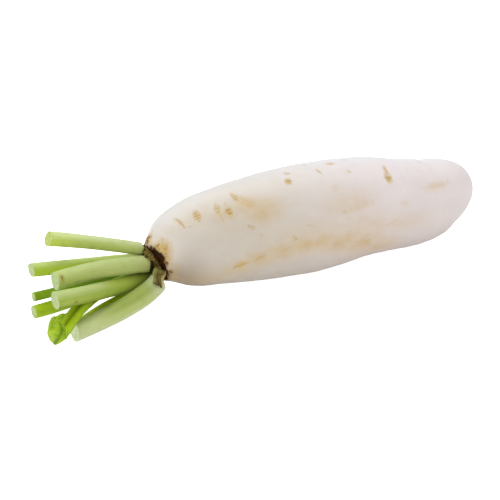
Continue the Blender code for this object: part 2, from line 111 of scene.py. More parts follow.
# Marks where fine side roots sat, and scratches: x, angle, length, width, direction of the length
# from +X towards the top, how much ochre and brown it has, whether it is barred, and its dent
MARKS = (
    (-0.1055, 72, 0.0150, 0.0034, -75, 0.60, 0.80, 0, 0.00030),
    (-0.1014, 59, 0.0052, 0.0013, -21, 0.25, 0.60, 0, 0.00010),
    (-0.0944, 67, 0.0115, 0.0056, 89, 0.90, 0.85, 1, 0.00040),
    (-0.0849, 60, 0.0033, 0.0008, -18, 0.10, 0.35, 0, 0.00000),
    (-0.0805, 65, 0.0095, 0.0050, 86, 0.80, 0.50, 1, 0.00035),
    (-0.0798, 52, 0.0081, 0.0020, -89, 0.60, 0.15, 0, 0.00010),
    (-0.0738, 56, 0.0085, 0.0058, -82, 0.95, 0.85, 1, 0.00045),
    (-0.0741, 66, 0.0063, 0.0027, -86, 0.50, 0.10, 0, 0.00010),
    (-0.0726, 46, 0.0060, 0.0034, -80, 0.22, 0.00, 0, 0.00000),
    (-0.0665, 71, 0.0120, 0.0045, -78, 0.80, 0.60, 1, 0.00030),
    (-0.0613, 61, 0.0190, 0.0085, -58, 0.68, 0.00, 0, 0.00030),
    (-0.0547, 48, 0.0160, 0.0105, -53, 0.32, 0.00, 0, 0.00010),
    (-0.0644, 52, 0.0063, 0.0027, -69, 0.38, 0.10, 0, 0.00005),
    (-0.0502, 52, 0.0038, 0.0028, -64, 0.30, 0.10, 0, 0.00000),
    (-0.0624, 33, 0.0079, 0.0040, -32, 0.58, 0.40, 1, 0.00020),
    (-0.0564, 22, 0.0044, 0.0033, -60, 0.32, 0.10, 0, 0.00005),
    (-0.0718, -9, 0.0150, 0.0080, 17, 0.80, 0.45, 0, 0.00010),
    (-0.0589, -3, 0.0130, 0.0050, 18, 0.70, 0.25, 0, 0.00010),
    (-0.0385, 3, 0.0140, 0.0036, 14, 0.55, 0.15, 0, 0.00010),
    (-0.0335, 12, 0.0058, 0.0033, -56, 0.70, 0.35, 1, 0.00015),
    (-0.0122, 7, 0.0120, 0.0026, -9, 0.50, 0.12, 0, 0.00010),
    (0.0140, -8, 0.0160, 0.0040, -18, 0.50, 0.08, 0, 0.00010),
    (0.0217, -6, 0.0090, 0.0050, -37, 0.40, 0.05, 0, 0.00010),
    (-0.0220, 22, 0.0122, 0.0022, -14, 0.45, 0.05, 0, 0.00000),
    (0.0401, 5, 0.0150, 0.0026, 20, 0.42, 0.15, 0, 0.00005),
    (0.0077, 21, 0.0055, 0.0027, -41, 0.18, 0.10, 0, 0.00000),
    (-0.0236, 89, 0.0058, 0.0042, -54, 0.60, 0.60, 1, 0.00030),
    (-0.0268, 75, 0.0066, 0.0056, 71, 0.95, 1.00, 1, 0.00045),
    (-0.0078, 98, 0.0036, 0.0030, -30, 0.40, 0.25, 0, 0.00010),
    (-0.0019, 80, 0.0082, 0.0030, -71, 0.60, 0.60, 0, 0.00020),
    (0.0103, 92, 0.0072, 0.0052, -9, 0.65, 0.35, 1, 0.00025),
    (0.0236, 98, 0.0070, 0.0034, 4, 0.25, 0.10, 0, 0.00000),
    (0.0186, 73, 0.0041, 0.0040, -73, 0.40, 0.30, 1, 0.00015),
    (0.0530, 99, 0.0048, 0.0018, 7, 0.20, 0.75, 0, 0.00010),
    (0.0469, 70, 0.0117, 0.0040, 81, 0.75, 0.35, 0, 0.00040),
    (0.0457, 59, 0.0100, 0.0068, 84, 0.88, 0.60, 1, 0.00060),
    (0.0796, 88, 0.0048, 0.0018, -40, 0.35, 1.00, 0, 0.00025),
    (0.0819, 44, 0.0240, 0.0064, -1, 0.42, 0.00, 0, 0.00025),
    (0.0930, 47, 0.0046, 0.0013, 71, 0.10, 0.50, 0, 0.00010),
    (0.0028, 55, 0.0075, 0.0065, -39, 0.28, 0.00, 0, 0.00000),
    (0.0528, 27, 0.0090, 0.0075, -28, 0.24, 0.00, 0, 0.00000),
    (0.0144, 31, 0.0360, 0.0090, 6, 0.40, 0.00, 0, 0.00000),
    (0.0145, 36, 0.0150, 0.0080, -64, 0.28, 0.00, 0, 0.00000),
    (0.0040, 29, 0.0052, 0.0038, -35, 0.55, 0.10, 0, 0.00010),
)

# In half sizes of a mark: how far its ochre, its brown lines and its dent's flank reach, and where
# the dent's rim lies and how wide it is. The rim's height is a share of the dent's depth.
STAIN_REACH = 1.3
LINE_REACH = 1.6
DENT_FLANK = (0.2, 1.0)
DENT_RIM = 0.35
DENT_RIM_PLACE = 1.1
DENT_RIM_WIDTH = 0.25

# Marks round the crown: clock angle, distance from the skin's edge, length round the crown, length
# away from it, ochre and brown, which reach a little past the mark's half sizes
CROWN_MARKS = (
    (100, 0.0030, 0.0076, 0.0064, 1.00, 0.84),
    (101, 0.0068, 0.0040, 0.0044, 0.42, 0.08),
    (68, 0.0040, 0.0014, 0.0040, 0.60, 1.00),
    (70, 0.0008, 0.0080, 0.0030, 0.80, 0.85),
    (86, 0.0020, 0.0070, 0.0040, 0.55, 0.10),
    (54, 0.0046, 0.0150, 0.0100, 1.00, 0.00),
    (66, 0.0030, 0.0090, 0.0070, 0.90, 0.10),
    (62, 0.0014, 0.0100, 0.0040, 0.85, 0.25),
    (38, 0.0036, 0.0110, 0.0074, 0.92, 0.15),
    (44, 0.0042, 0.0024, 0.0020, 0.60, 0.70),
    (33, 0.0018, 0.0060, 0.0026, 0.70, 0.75),
    (27, 0.0026, 0.0060, 0.0036, 0.90, 0.95),
    (6, 0.0026, 0.0056, 0.0050, 0.70, 0.85),
    (12, 0.0060, 0.0090, 0.0070, 0.45, 0.00),
    (-10, 0.0045, 0.0080, 0.0060, 0.55, 0.25),
    (150, 0.0040, 0.0110, 0.0060, 0.80, 0.25),
    (188, 0.0020, 0.0080, 0.0040, 0.65, 0.75),
    (222, 0.0055, 0.0130, 0.0070, 0.80, 0.10),
    (262, 0.0030, 0.0070, 0.0050, 0.60, 0.60),
    (300, 0.0060, 0.0120, 0.0060, 0.70, 0.15),
)
RING_OCHRE_REACH = 1.5
RING_BROWN_REACH = 1.4

# Broad faint stains: x, angle, length along the root, height round it, ochre
STAINS = (
    (-0.0730, -14, 0.0260, 0.0130, 0.50),
    (-0.0574, -5, 0.0320, 0.0130, 0.62),
    (-0.0430, 0, 0.0320, 0.0140, 0.60),
    (-0.0285, 3, 0.0320, 0.0150, 0.68),
    (-0.0140, 3, 0.0320, 0.0160, 0.66),
    (0.0012, -2, 0.0320, 0.0180, 0.66),
    (0.0182, -11, 0.0320, 0.0200, 0.66),
    (0.0330, -24, 0.0320, 0.0200, 0.52),
    (-0.0200, 8, 0.0900, 0.0280, 0.34),
    (0.0150, 2, 0.0640, 0.0320, 0.38),
    (0.0100, 36, 0.0460, 0.0200, 0.34),
    (0.0040, 52, 0.0160, 0.0140, 0.16),
    (-0.0600, 58, 0.0210, 0.0130, 0.62),
    (-0.0520, 47, 0.0280, 0.0190, 0.58),
    (-0.0740, 57, 0.0280, 0.0150, 0.40),
    (-0.0950, 66, 0.0220, 0.0140, 0.26),
    (-0.0640, 44, 0.0560, 0.0280, 0.20),
    (-0.0900, -26, 0.0500, 0.0180, 0.30),
    (0.0480, 4, 0.0500, 0.0160, 0.30),
    (0.0820, 44, 0.0260, 0.0090, 0.26),
)

# The tip's stain: the radius at which it starts and is gone, and the x from which it shows
TIP_STAIN_RADII = (0.0015, 0.0105)
TIP_STAIN_STARTS = (0.1150, 0.1190)

# Painted shade: the underside darker, in three layers: how dark, the sines of the angle round the root at
# which it starts and is full, and the x at which it starts to fade and has faded, or a place past the tip
PAINTED_UNDER_SHADES = (
    (0.32, (0.35, -0.75), (1.0, 2.0)),
    (0.35, (0.45, -0.35), (-0.105, -0.070)),
    (0.60, (0.70, 0.05), (-0.114, -0.088)),
)

# Painted light: the top lighter and cooler, and the angles between which it starts and ends
PAINTED_TOP_LIGHT_STARTS = (76, 104)
PAINTED_TOP_LIGHT_ENDS = (150, 190)

# The marks that the far side and the underside get, drawn from a seeded rule: how many, between which
# x, the share that is barred, the share of the others that are long streaks, and the deepest dent
FAR_MARKS = 38
FAR_SEED = 7
FAR_SPAN = (-0.110, 0.104)
BARRED_SHARE = 0.45
STREAKED_SHARE = 0.6
FAR_DENT = 0.0004

# Crown: its axis, the length over which the root's rings turn to it, and the rings that the skin's
# lip and the collar are drawn through, each its height above the skin's edge and its radius
CROWN_AXIS = Vector((-0.970, -0.116, -0.213)).normalized()
CROWN_TURN = 0.020
SKIN_LIP = ((-0.0016, 0.0131), (-0.0005, 0.0139), (0.0002, 0.0147), (0.0002, 0.0152))
COLLAR_RINGS = (
    (-0.0014, 0.0134),
    (0.0000, 0.0140),
    (0.0007, 0.0145),
    (0.0013, 0.0149),
    (0.0020, 0.0151),
    (0.0028, 0.0152),
    (0.0036, 0.0150),
    (0.0041, 0.0145),
    (0.0040, 0.0139),
    (0.0037, 0.0128),
    (0.0040, 0.0105),
    (0.0043, 0.0080),
    (0.0041, 0.0055),
    (0.0044, 0.0030),
    (0.0043, 0.0010),
)

# How the root draws in near the crown, as in the solids: its underside sits higher, the skin's edge
# reaches further up the crown round one clock angle, and the shoulder behind that swells
UNDER_LIFT = 0.0030
UNDER_REACH = 0.0220
SHOULDER_LIFT = 0.0009
SHOULDER_FADE = (0.0450, 0.0650)
UNDER_SINES = (-0.10, -0.80)
EDGE_SHIFT = 0.0024
EDGE_CLOCK = 100
EDGE_SPREAD = 22
EDGE_REACH = 0.0100
SWELL = 0.0007
SWELL_SPREAD = 34
SWELL_RISE = (0.0, 0.0030)
SWELL_FADE = (0.0090, 0.0220)

# The brown collar: its top, the noises that roughen it, the heights and radii between which its side
# and its rim set in, the stretches of its ragged rim (first and last clock angle, height), the teeth
# of the rim, and the old leaf scars round the collar with their fine folds
COLLAR_SIDES = 80
COLLAR_TOP = 0.0040
COLLAR_NOISE = (420, 1100, 2600)
SIDE_HEIGHTS = (0.0, 0.0010)
SIDE_RADII = (0.0120, 0.0138)
RIM_HEIGHTS = (0.0030, 0.0041)
RIM_RADII = (0.0134, 0.0141)
TOP_RADII = (0.0120, 0.0134)
RIM_STRETCHES = (
    (-30, 12, 0.0010),
    (46, 88, 0.0028),
    (100, 128, 0.0012),
    (134, 205, 0.0019),
    (225, 300, 0.0012),
)
RIM_FADE = 12
RIM_TEETH = 23
LEAF_SCARS = 9
SCAR_HEIGHT = 0.0010
SCAR_FOLDS = 61

# Where the dark groove under the collar is wider or narrower than elsewhere, and where the skin's
# dark edge reaches further or less far: clock angle, spread and amount
GROOVE_WIDTHS = ((50, 22, 0.0007), (0, 26, -0.0009))
RING_REACH = ((43, 20, 0.0017), (95, 18, -0.0006))

# Leaf stalks: foot on the crown (towards the viewer, up), knee, cut end, radii of foot, middle, end
STALKS = {
    "stalk_1": (
        (-0.0030, 0.0130), (-0.1550, 0.0030, 0.0495), (-0.1850, 0.0206, 0.0500), (0.0044, 0.0045, 0.0050),
    ),
    "stalk_2": (
        (-0.0065, 0.0035), (-0.1570, 0.0095, 0.0305), (-0.1985, 0.0200, 0.0295), (0.0039, 0.0044, 0.0047),
    ),
    "stalk_3": (
        (0.0055, 0.0058), (-0.1575, -0.0085, 0.0386), (-0.1905, -0.0133, 0.0378), (0.0056, 0.0061, 0.0059),
    ),
    "stalk_4": (
        (-0.0100, -0.0020), (-0.1565, 0.0120, 0.0145), (-0.2005, 0.0125, 0.0135), (0.0024, 0.0029, 0.0031),
    ),
    "stalk_5": (
        (0.0010, -0.0062), (-0.1500, -0.0182, 0.0251), (-0.1955, -0.0316, 0.0353), (0.0046, 0.0055, 0.0058),
    ),
    "stalk_6": (
        (-0.0105, -0.0090), (-0.1585, 0.0145, 0.0030), (-0.2025, 0.0060, 0.0060), (0.0034, 0.0044, 0.0044),
    ),
    "leafy_stalk": (
        (-0.0030, -0.0135), (-0.1600, 0.0030, 0.0245), (-0.1945, -0.0400, 0.0175), (0.0032, 0.0042, 0.0046),
    ),
    "stalk_8": (
        (0.0125, -0.0035), (-0.1350, -0.0320, 0.0210), (-0.1845, -0.0285, 0.0070), (0.0064, 0.0069, 0.0064),
    ),
    "stalk_9": (
        (0.0050, -0.0140), (-0.1455, -0.0045, 0.0125), (-0.1810, -0.0185, 0.0040), (0.0029, 0.0035, 0.0034),
    ),
}
LEAFY = "leafy_stalk"

# The stalks were cut with the same slanting stroke, all but one
CUT_NORMAL = Vector((-0.978, -0.180, 0.100)).normalized()
OWN_CUTS = {"stalk_1": Vector((-0.910, 0.000, 0.410)).normalized()}

# How a stalk is swept: its sides, the shares of its length where its curve has knots, the narrow
# neck at its foot, the channel on its upper side and the ribs round it
STALK_SIDES = 64
STALK_KNOTS = (0.0, 0.006, 0.014, 0.024, 0.036, 0.055, 0.10, 0.20, 0.35, 0.55, 0.75, 0.90, 1.0)
KNOT_STEPS = 6
ROUTE_STEPS = 160
STALK_MIDDLE = 0.35
STALK_OVERRUN = 0.006
FOOT_NECK = 0.74
FOOT_REACH = 0.0030
CHANNEL_DEPTH = 0.07
CHANNEL_WIDTH = 0.6
RIBS = 17
RIB_HEIGHT = 0.012

# Soft dents in a stalk and creases along it, deeper near its foot, each with its noise and how that
# is stretched along the stalk
STALK_DENTS = 0.00022
STALK_DENT_NOISE = 160
STALK_DENT_STRETCH = np.array((0.25, 1.0, 1.0))
CREASES = 0.00004
FOOT_CREASES = 0.00010
CREASE_NOISE = 900
CREASE_STRETCH = np.array((0.12, 1.0, 1.0))
NEAR_FOOT = (0.002, 0.012)

# The cut face's bumps and grain with their noises, how far below the cut a face still belongs to it,
# the degrees from which an edge stays sharp, and how far a wound reaches in half sizes
CUT_BUMPS = 0.00022
CUT_BUMPS_NOISE = 1400
CUT_GRAIN = 0.0001
CUT_GRAIN_NOISE = 3200
CUT_BAND = 0.0012
SHARP_EDGE = 38
NICK_REACH = 1.6

# The cut face: rings from its rim to its middle, each a share of the radius and a rise
CUT_STEPS = (
    (0.975, 0.03),
    (0.94, 0.0),
    (0.90, -0.05),
    (0.74, -0.02),
    (0.56, 0.02),
    (0.36, -0.01),
    (0.17, 0.02),
)

# Tones of the stalks at the foot, the middle and the end: their own green, with painted shade, deeper and
# greener on the stalks that lie in shade behind the others, and painted light on stalk_9, lightened where
# it lies among them
STALK_TONES_LIGHT_AND_SHADE = {
    "stalk_1": ((0.46, 0.52, 0.17), (0.475, 0.57, 0.145), (0.57, 0.68, 0.09)),
    "stalk_2": ((0.38, 0.48, 0.04), (0.44, 0.59, 0.03), (0.45, 0.60, 0.04)),
    "stalk_3": ((0.42, 0.45, 0.15), (0.47, 0.55, 0.17), (0.48, 0.58, 0.16)),
    "stalk_4": ((0.13, 0.22, 0.006), (0.19, 0.34, 0.002), (0.26, 0.43, 0.002)),
    "stalk_5": ((0.140, 0.180, 0.018), (0.33, 0.43, 0.048), (0.42, 0.53, 0.09)),
    "stalk_6": ((0.24, 0.35, 0.01), (0.38, 0.56, 0.006), (0.44, 0.63, 0.01)),
    "leafy_stalk": ((0.20, 0.31, 0.004), (0.41, 0.59, 0.002), (0.43, 0.62, 0.002)),
    "stalk_8": ((0.66, 0.68, 0.46), (0.51, 0.59, 0.19), (0.66, 0.72, 0.37)),
    "stalk_9": ((0.36, 0.46, 0.010), (0.48, 0.60, 0.010), (0.48, 0.60, 0.010)),
}

# How far up a stalk its dark foot reaches, as a share of its length, and the painted light and shade on its
# underside
# and its upper side: how far they turn to which tone, and between which shares of its length the upper tone
# sets in and fades. The tops get painted highlights and stalk_8's upper side painted shade. Stalk_8's
# underside gets a pale painted light and stalk_5's underside painted shade
DARK_FEET = {"stalk_1": 0.004, "stalk_3": 0.042, "stalk_5": 0.030, "stalk_8": 0.010}
DARK_FOOT = 0.020
PAINTED_UNDER_LIGHT_AND_SHADE = {"stalk_8": (0.80, (0.70, 0.74, 0.50)), "stalk_5": (0.55, (0.14, 0.19, 0.012))}
PAINTED_TOP_LIGHT_AND_SHADE = {
    "stalk_1": (0.45, (0.72, 0.77, 0.56)),
    "stalk_2": (0.55, (0.62, 0.68, 0.38)),
    "stalk_3": (0.14, (0.62, 0.68, 0.44)),
    "stalk_5": (0.28, (0.74, 0.80, 0.54)),
    "stalk_8": (0.62, (0.24, 0.32, 0.030)),
}
PAINTED_TOP_FADES = {"stalk_5": (0.40, 0.65, 1.1, 1.2), "stalk_8": (0.06, 0.20, 0.45, 0.85)}

# Tones of the cut faces: pale, deeper and wispy, and where they differ from the rest
CUT_TONES = ((0.67, 0.75, 0.41), (0.50, 0.61, 0.26), (0.32, 0.40, 0.15))
OWN_CUT_TONES = {
    "stalk_1": ((0.63, 0.71, 0.23), (0.54, 0.63, 0.16), (0.41, 0.49, 0.10)),
    "stalk_8": ((0.90, 0.94, 0.72), (0.73, 0.80, 0.48), (0.48, 0.55, 0.27)),
    "leafy_stalk": ((0.38, 0.56, 0.05), (0.25, 0.41, 0.02), (0.15, 0.26, 0.01)),
}

# Small brown wounds on the stalks: stalk, share of its length, angle round it, length, width, brown
NICKS = (
    ("stalk_3", 0.950, 38, 0.0024, 0.0060, 0.66),
    ("stalk_3", 0.15, -36, 0.0042, 0.0018, 0.45),
    ("stalk_3", 0.62, 30, 0.0030, 0.0007, 0.40),
    ("stalk_5", 0.850, -8, 0.0026, 0.0014, 1.00),
    ("stalk_8", 0.52, 60, 0.0040, 0.0008, 0.35),
    ("stalk_1", 0.70, -20, 0.0026, 0.0009, 0.35),
    ("stalk_6", 0.60, 110, 0.0030, 0.0010, 0.50),
)

# Leaf scrap on the leafy stalk: it starts behind the cut end, widens in lobes and droops past it. It
# is wavy and bubbly, puckered between its veins, frilled at its edge and yellower on its rim.
BLADE_BACK = 0.0210
BLADE_PAST = 0.0078
BLADE_OUTER = 0.0100
BLADE_OUTER_START = 0.08
BLADE_INNER = 0.0050
BLADE_WIDEST = 0.66
BLADE_GROWTH = 1.6
BLADE_TAIL_END = 1.01
BLADE_LOBES = 0.05
BLADE_LOBE_HALVES = 5
BLADE_THICKNESS = 0.0007
BLADE_CURL = 0.0030
BLADE_DROOP = (-0.54, 0.00, -0.72)
BLADE_ONWARD = 0.45
BLADE_FACING = Vector((-0.344, -0.795, 0.500))
BLADE_GRID = (64, 48)
BLADE_WAVES = 0.0010
BLADE_BUBBLES = 0.0008
BLADE_PUCKERS = 0.0007
BLADE_FRILL = 0.0011
BLADE_VEINS = 6.0
VEIN_SLANT = 1.3
VEIN_WIDTH = 0.10
RIM_SHARE = 0.86
RIM_SHARE_FADE = 0.12
RIM_OVER = 0.9
RIM_OVER_FADE = 0.1

# The leaf's midrib: a fold that runs on from the stalk's channel into the blade, darkened with painted
# shade
MIDRIB_WIDTH = 0.0013
MIDRIB_DEPTH = 0.0012
MIDRIB_STARTS = (0.45, 0.75)
FOLD_DENT = 0.0008

# Withered leaf bases: clock angle, foot height, length, width, degrees that it leans outwards, and
# degrees that it is turned down the clock. They stand round the crown at one radius, taper, curl and
# crease. The first hugs the foot of a stalk, a small gap away from it.
WITHERED = {
    "withered_base_1": (21, 0.0022, 0.0108, 0.0084, 14, 42),
    "withered_base_2": (150, 0.0012, 0.0085, 0.0080, 14, 0),
    "withered_base_3": (188, 0.0010, 0.0060, 0.0070, 24, 0),
}
WITHERED_RADIUS = 0.0165
HUGGED_STALK = "stalk_8"
HUG_GAP = 0.0011
HUG_STEPS = 60
WITHERED_THICKNESS = 0.0010
WITHERED_GRID = (28, 28)
WITHERED_CURL = 0.0006
WITHERED_CREASES = 0.00022
WITHERED_BUMPS = 0.0005
WITHERED_TAPER = 0.50


def deselect():
    """Object mode, with nothing selected."""
    if bpy.context.object and bpy.context.object.mode != "OBJECT":
        bpy.ops.object.mode_set(mode="OBJECT")
    bpy.ops.object.select_all(action="DESELECT")


def select_only(piece):
    """Make one object the selected and active one, in object mode."""
    deselect()
    piece.select_set(True)
    bpy.context.view_layer.objects.active = piece


def edit_all():
    """Edit mode, with the whole mesh selected."""
    bpy.ops.object.mode_set(mode="EDIT")
    bpy.ops.mesh.select_all(action="SELECT")


def settle(piece, sharp=None):
    """Put the piece's place into its mesh, merge doubles, turn its faces outwards and smooth it."""
    select_only(piece)
    bpy.ops.object.transform_apply(location=True, rotation=True, scale=True)
    edit_all()
    bpy.ops.mesh.remove_doubles(threshold=1e-7)
    bpy.ops.mesh.normals_make_consistent(inside=False)
    bpy.ops.object.mode_set(mode="OBJECT")
    bpy.ops.object.shade_smooth()
    if sharp is not None:
        bpy.ops.object.shade_smooth_by_angle(angle=math.radians(sharp))


def refine(piece, levels, thickness=None):
    """Give a thin piece its thickness, and any piece a finer, smooth mesh."""
    if thickness is not None:
        sheet = piece.modifiers.new("Thickness", "SOLIDIFY")
        sheet.thickness = thickness
        sheet.offset = 0.0
    smooth = piece.modifiers.new("Smooth", "SUBSURF")
    smooth.levels = levels
    smooth.render_levels = levels
    select_only(piece)
    for modifier in list(piece.modifiers):
        bpy.ops.object.modifier_apply(modifier=modifier.name)
    settle(piece)


def points_of(piece, field="co"):
    """The piece's vertices, or their normals, as an array."""
    values = np.empty(len(piece.data.vertices) * 3)
    piece.data.vertices.foreach_get(field, values)
    return values.reshape(-1, 3)


def move_points(piece, spots):
    """Give the piece's vertices new places."""
    piece.data.vertices.foreach_set("co", np.asarray(spots, dtype=float).ravel())
    piece.data.update()


def store(piece, name, values, kind="FLOAT", domain="POINT"):
    """Keep a value for each vertex or face as an attribute that a material can read."""
    layer = piece.data.attributes.new(name, kind, domain)
    field = "vector" if kind == "FLOAT_VECTOR" else "value"
    layer.data.foreach_set(field, np.asarray(values, dtype=float).ravel())


def rough_field(spots, scale, seed):
    """Smooth noise from -1 to 1 at each point."""
    shift = Vector((seed * 3.1, seed * 7.7, seed * 1.3))
    return np.array([noise.noise(Vector(spot) * scale + shift) for spot in spots])


def ease(low, high, values):
    """Rise smoothly from 0 at low to 1 at high."""
    share = np.clip((values - low) / (high - low), 0.0, 1.0)
    return share * share * (3 - 2 * share)


def bell(away, width):
    """1 in the middle, falling smoothly to 0 on both sides."""
    return np.exp(-((away / width) ** 2))


def round_crown(clock, bells):
    """A sum of bells round the crown, each with its clock angle, width and height."""
    return sum(height * bell(clock - middle, width) for middle, width, height in bells)


def turn_from(middle, degrees):
    """Degrees from a middle angle, the short way round."""
    return np.remainder(degrees - middle + 180, 360) - 180


def spline(stations, steps):
    """Points of a smooth curve through the stations. It turns round at the last, the root's tip."""
    ahead = tuple(2 * a - b for a, b in zip(stations[0], stations[1]))
    back = list(stations[-2])
    back[1] = -back[1]
    knots = [ahead, *stations, tuple(back)]
    points = []
    for before, start, end, after in zip(knots, knots[1:], knots[2:], knots[3:]):
        for step in range(steps):
            s = step / steps
            point = []
            for a, b, c, d in zip(before, start, end, after):
                square = 2 * a - 5 * b + 4 * c - d
                cube = 3 * b - 3 * c + d - a
                point.append(0.5 * (2 * b + (c - a) * s + square * s**2 + cube * s**3))
            points.append(point)
    points.append(list(stations[-1]))
    return points


def spaced_rings(spots, count):
    """Points spread along the outline's own length, closer together at the crown and at the tip."""
    steps = np.hypot(np.diff(spots[:, 0]), np.diff(spots[:, 1]))
    lengths = np.concatenate(([0.0], np.cumsum(steps)))
    even = np.arange(count) / count
    goals = lengths[-1] * (even - RING_CROWDING * np.sin(2 * math.pi * even) / (2 * math.pi))
    return np.array([np.interp(goals, lengths, spots[:, k]) for k in range(4)]).T


def cross_frame(axis):
    """Two directions across an axis: towards the viewer's side, and up."""
    side = Vector((0, 0, 1)).cross(axis).normalized()
    if side.y > 0:
        side = -side
    up = axis.cross(side)
    if up.z < 0:
        up = -up
    return side, up


OUTLINE = np.array(spline(ROOT_STATIONS, SPAN_STEPS))
CROWN_FOOT = Vector((ROOT_STATIONS[0][0], ROOT_STATIONS[0][2], ROOT_STATIONS[0][3]))
CROWN_SIDE, CROWN_UP = cross_frame(CROWN_AXIS)


def crown_point(toward, up, height):
    """A point over the crown: towards the viewer, up, and out along the crown's axis."""
    return CROWN_FOOT + height * CROWN_AXIS + toward * CROWN_SIDE + up * CROWN_UP


def crown_place(spots):
    """Clock angle, height above the skin's edge and distance from the crown's axis of points."""
    away = spots - np.array(CROWN_FOOT)
    height = away @ np.array(CROWN_AXIS)
    toward = away @ np.array(CROWN_SIDE)
    up = away @ np.array(CROWN_UP)
    return np.degrees(np.arctan2(up, toward)), height, np.hypot(toward, up)


def drawn_in(spots):
    """How far points of the root or crown move as the root draws in at the crown."""
    clock, height, _ = crown_place(spots)
    depth = -height
    lift = UNDER_LIFT * (1 - ease(0.0, UNDER_REACH, depth))
    lift += SHOULDER_LIFT * (1 - ease(*SHOULDER_FADE, depth))
    lift *= ease(*UNDER_SINES, np.sin(np.radians(clock)))
    felt = np.where(depth > 0, 1 - ease(0.0, EDGE_REACH, depth), 1 - np.clip(height / COLLAR_TOP, 0, 1))
    turn = turn_from(EDGE_CLOCK, clock)
    shift = EDGE_SHIFT * bell(turn, EDGE_SPREAD) * felt
    swell = SWELL * bell(turn, SWELL_SPREAD)
    swell *= ease(*SWELL_RISE, depth) * (1 - ease(*SWELL_FADE, depth))
    up = (lift + swell)[:, None] * np.array(CROWN_UP)
    return up + (shift + swell)[:, None] * np.array(CROWN_AXIS)


def loft(rings, sides, name):
    """Extrude a circle through rings, each its centre, the way it faces and its radius."""
    centre, facing, radius = rings[0]
    deselect()
    tilt = facing.to_track_quat("Z", "Y").to_euler()
    bpy.ops.mesh.primitive_circle_add(vertices=sides, radius=radius, location=centre, rotation=tilt)
    piece = bpy.context.object
    piece.name = name
    edit_all()
    for (old_centre, old_facing, old_radius), (centre, facing, radius) in zip(rings, rings[1:]):
        bpy.ops.mesh.extrude_edges_move(TRANSFORM_OT_translate={"value": centre - old_centre})
        grow = radius / old_radius
        bpy.ops.transform.resize(value=(grow, grow, grow), center_override=centre)
        turn = old_facing.rotation_difference(facing).to_euler()
        for axis, angle in (("Y", turn.y), ("Z", turn.z)):
            if abs(angle) > 1e-4:
                bpy.ops.transform.rotate(value=-angle, orient_axis=axis, center_override=centre)
    bpy.ops.mesh.select_all(action="SELECT")
    bpy.ops.mesh.fill_holes(sides=0)
    bpy.ops.object.mode_set(mode="OBJECT")
    refine(piece, LOFT_LEVELS)
    return piece


def root_place(spots):
    """Angle round the root's centre-line, and distance from it, of points."""
    order = np.maximum.accumulate(OUTLINE[:, 0])
    middle_y = np.interp(spots[:, 0], order, OUTLINE[:, 2])
    middle_z = np.interp(spots[:, 0], order, OUTLINE[:, 3])
    angle = np.arctan2(spots[:, 2] - middle_z, -(spots[:, 1] - middle_y))
    return angle, np.hypot(spots[:, 2] - middle_z, spots[:, 1] - middle_y)


def far_marks():
    """Marks for the sides that no picture shows, like those of the near side."""
    draw = random.Random(FAR_SEED)
    marks = []
    for _ in range(FAR_MARKS):
        x = draw.uniform(*FAR_SPAN)
        angle = draw.choice((draw.gauss(200, 16), draw.gauss(235, 18), draw.uniform(118, 330)))
        if draw.random() < BARRED_SHARE:
            shape = (draw.uniform(0.005, 0.011), draw.uniform(0.003, 0.0055), draw.uniform(70, 110))
            looks = (draw.uniform(0.5, 0.9), draw.uniform(0.4, 0.9), 1)
        elif draw.random() < STREAKED_SHARE:
            shape = (draw.uniform(0.012, 0.030), draw.uniform(0.003, 0.008), draw.uniform(-30, 30))
            looks = (draw.uniform(0.3, 0.8), draw.uniform(0.0, 0.3), 0)
        else:
            shape = (draw.uniform(0.003, 0.006), draw.uniform(0.001, 0.002), draw.uniform(-60, 60))
            looks = (draw.uniform(0.2, 0.4), draw.uniform(0.5, 0.9), 0)
        marks.append((x, angle, *shape, *looks, FAR_DENT * looks[1]))
    return marks


def mark_place(x, angle, radius, mark):
    """Where each point lies in a mark: its distance in half sizes, place along it and across it."""
    mark_x, mark_angle, length, width, slant = mark
    turn = np.remainder(angle - math.radians(mark_angle) + math.pi, 2 * math.pi) - math.pi
    lean = math.radians(slant)
    along = (x - mark_x) * math.cos(lean) + turn * radius * math.sin(lean)
    across = -(x - mark_x) * math.sin(lean) + turn * radius * math.cos(lean)
    return np.hypot(along / (length / 2), across / (width / 2)), along, across / (width / 2)


def wave_skin(x, angle, radius):
    """How far the skin rises and falls in its gentle waves."""
    share = (x - ROOT_STATIONS[0][0]) / (ROOT_STATIONS[-1][0] - ROOT_STATIONS[0][0])
    lift = np.zeros(len(x))
    for height, turns, waves, phase in SKIN_WAVES:
        lift += height * np.sin(turns * angle + 2 * math.pi * waves * share + phase)
    return lift * (np.clip(radius / WAVES_FULL_RADIUS, 0, 1) * np.clip(share / WAVES_FULL_SHARE, 0, 1))


def press_marks(lift, x, angle, radius, medium):
    """Dent the skin at its marks. Returns which mark each point lies in, for the material."""
    empty = np.zeros(len(x))
    found = {"closeness": empty - 1, "stain": empty, "far": empty + 9}
    found |= dict.fromkeys(("along", "across", "line", "bars"), empty)
    best = empty
    for *place, ochre, brown, bars, dent in (*MARKS, *far_marks()):
        far, along, across = mark_place(x, angle, radius, place)
        closeness = STAIN_REACH - far
        wins = (closeness > 0) & (closeness * ochre > best)
        best = np.where(wins, closeness * ochre, best)
        stain = {"closeness": closeness, "stain": ochre}
        nearer = (far < found["far"]) & (far < LINE_REACH)
        line = {"far": far, "along": along, "across": across, "line": brown, "bars": bars}
        for where, values in ((wins, stain), (nearer, line)):
            for name, value in values.items():
                found[name] = np.where(where, value, found[name])
        lift -= dent * (1 - ease(*DENT_FLANK, far)) * (0.85 + 0.3 * medium)
        lift += DENT_RIM * dent * bell(far - DENT_RIM_PLACE, DENT_RIM_WIDTH)
    return found


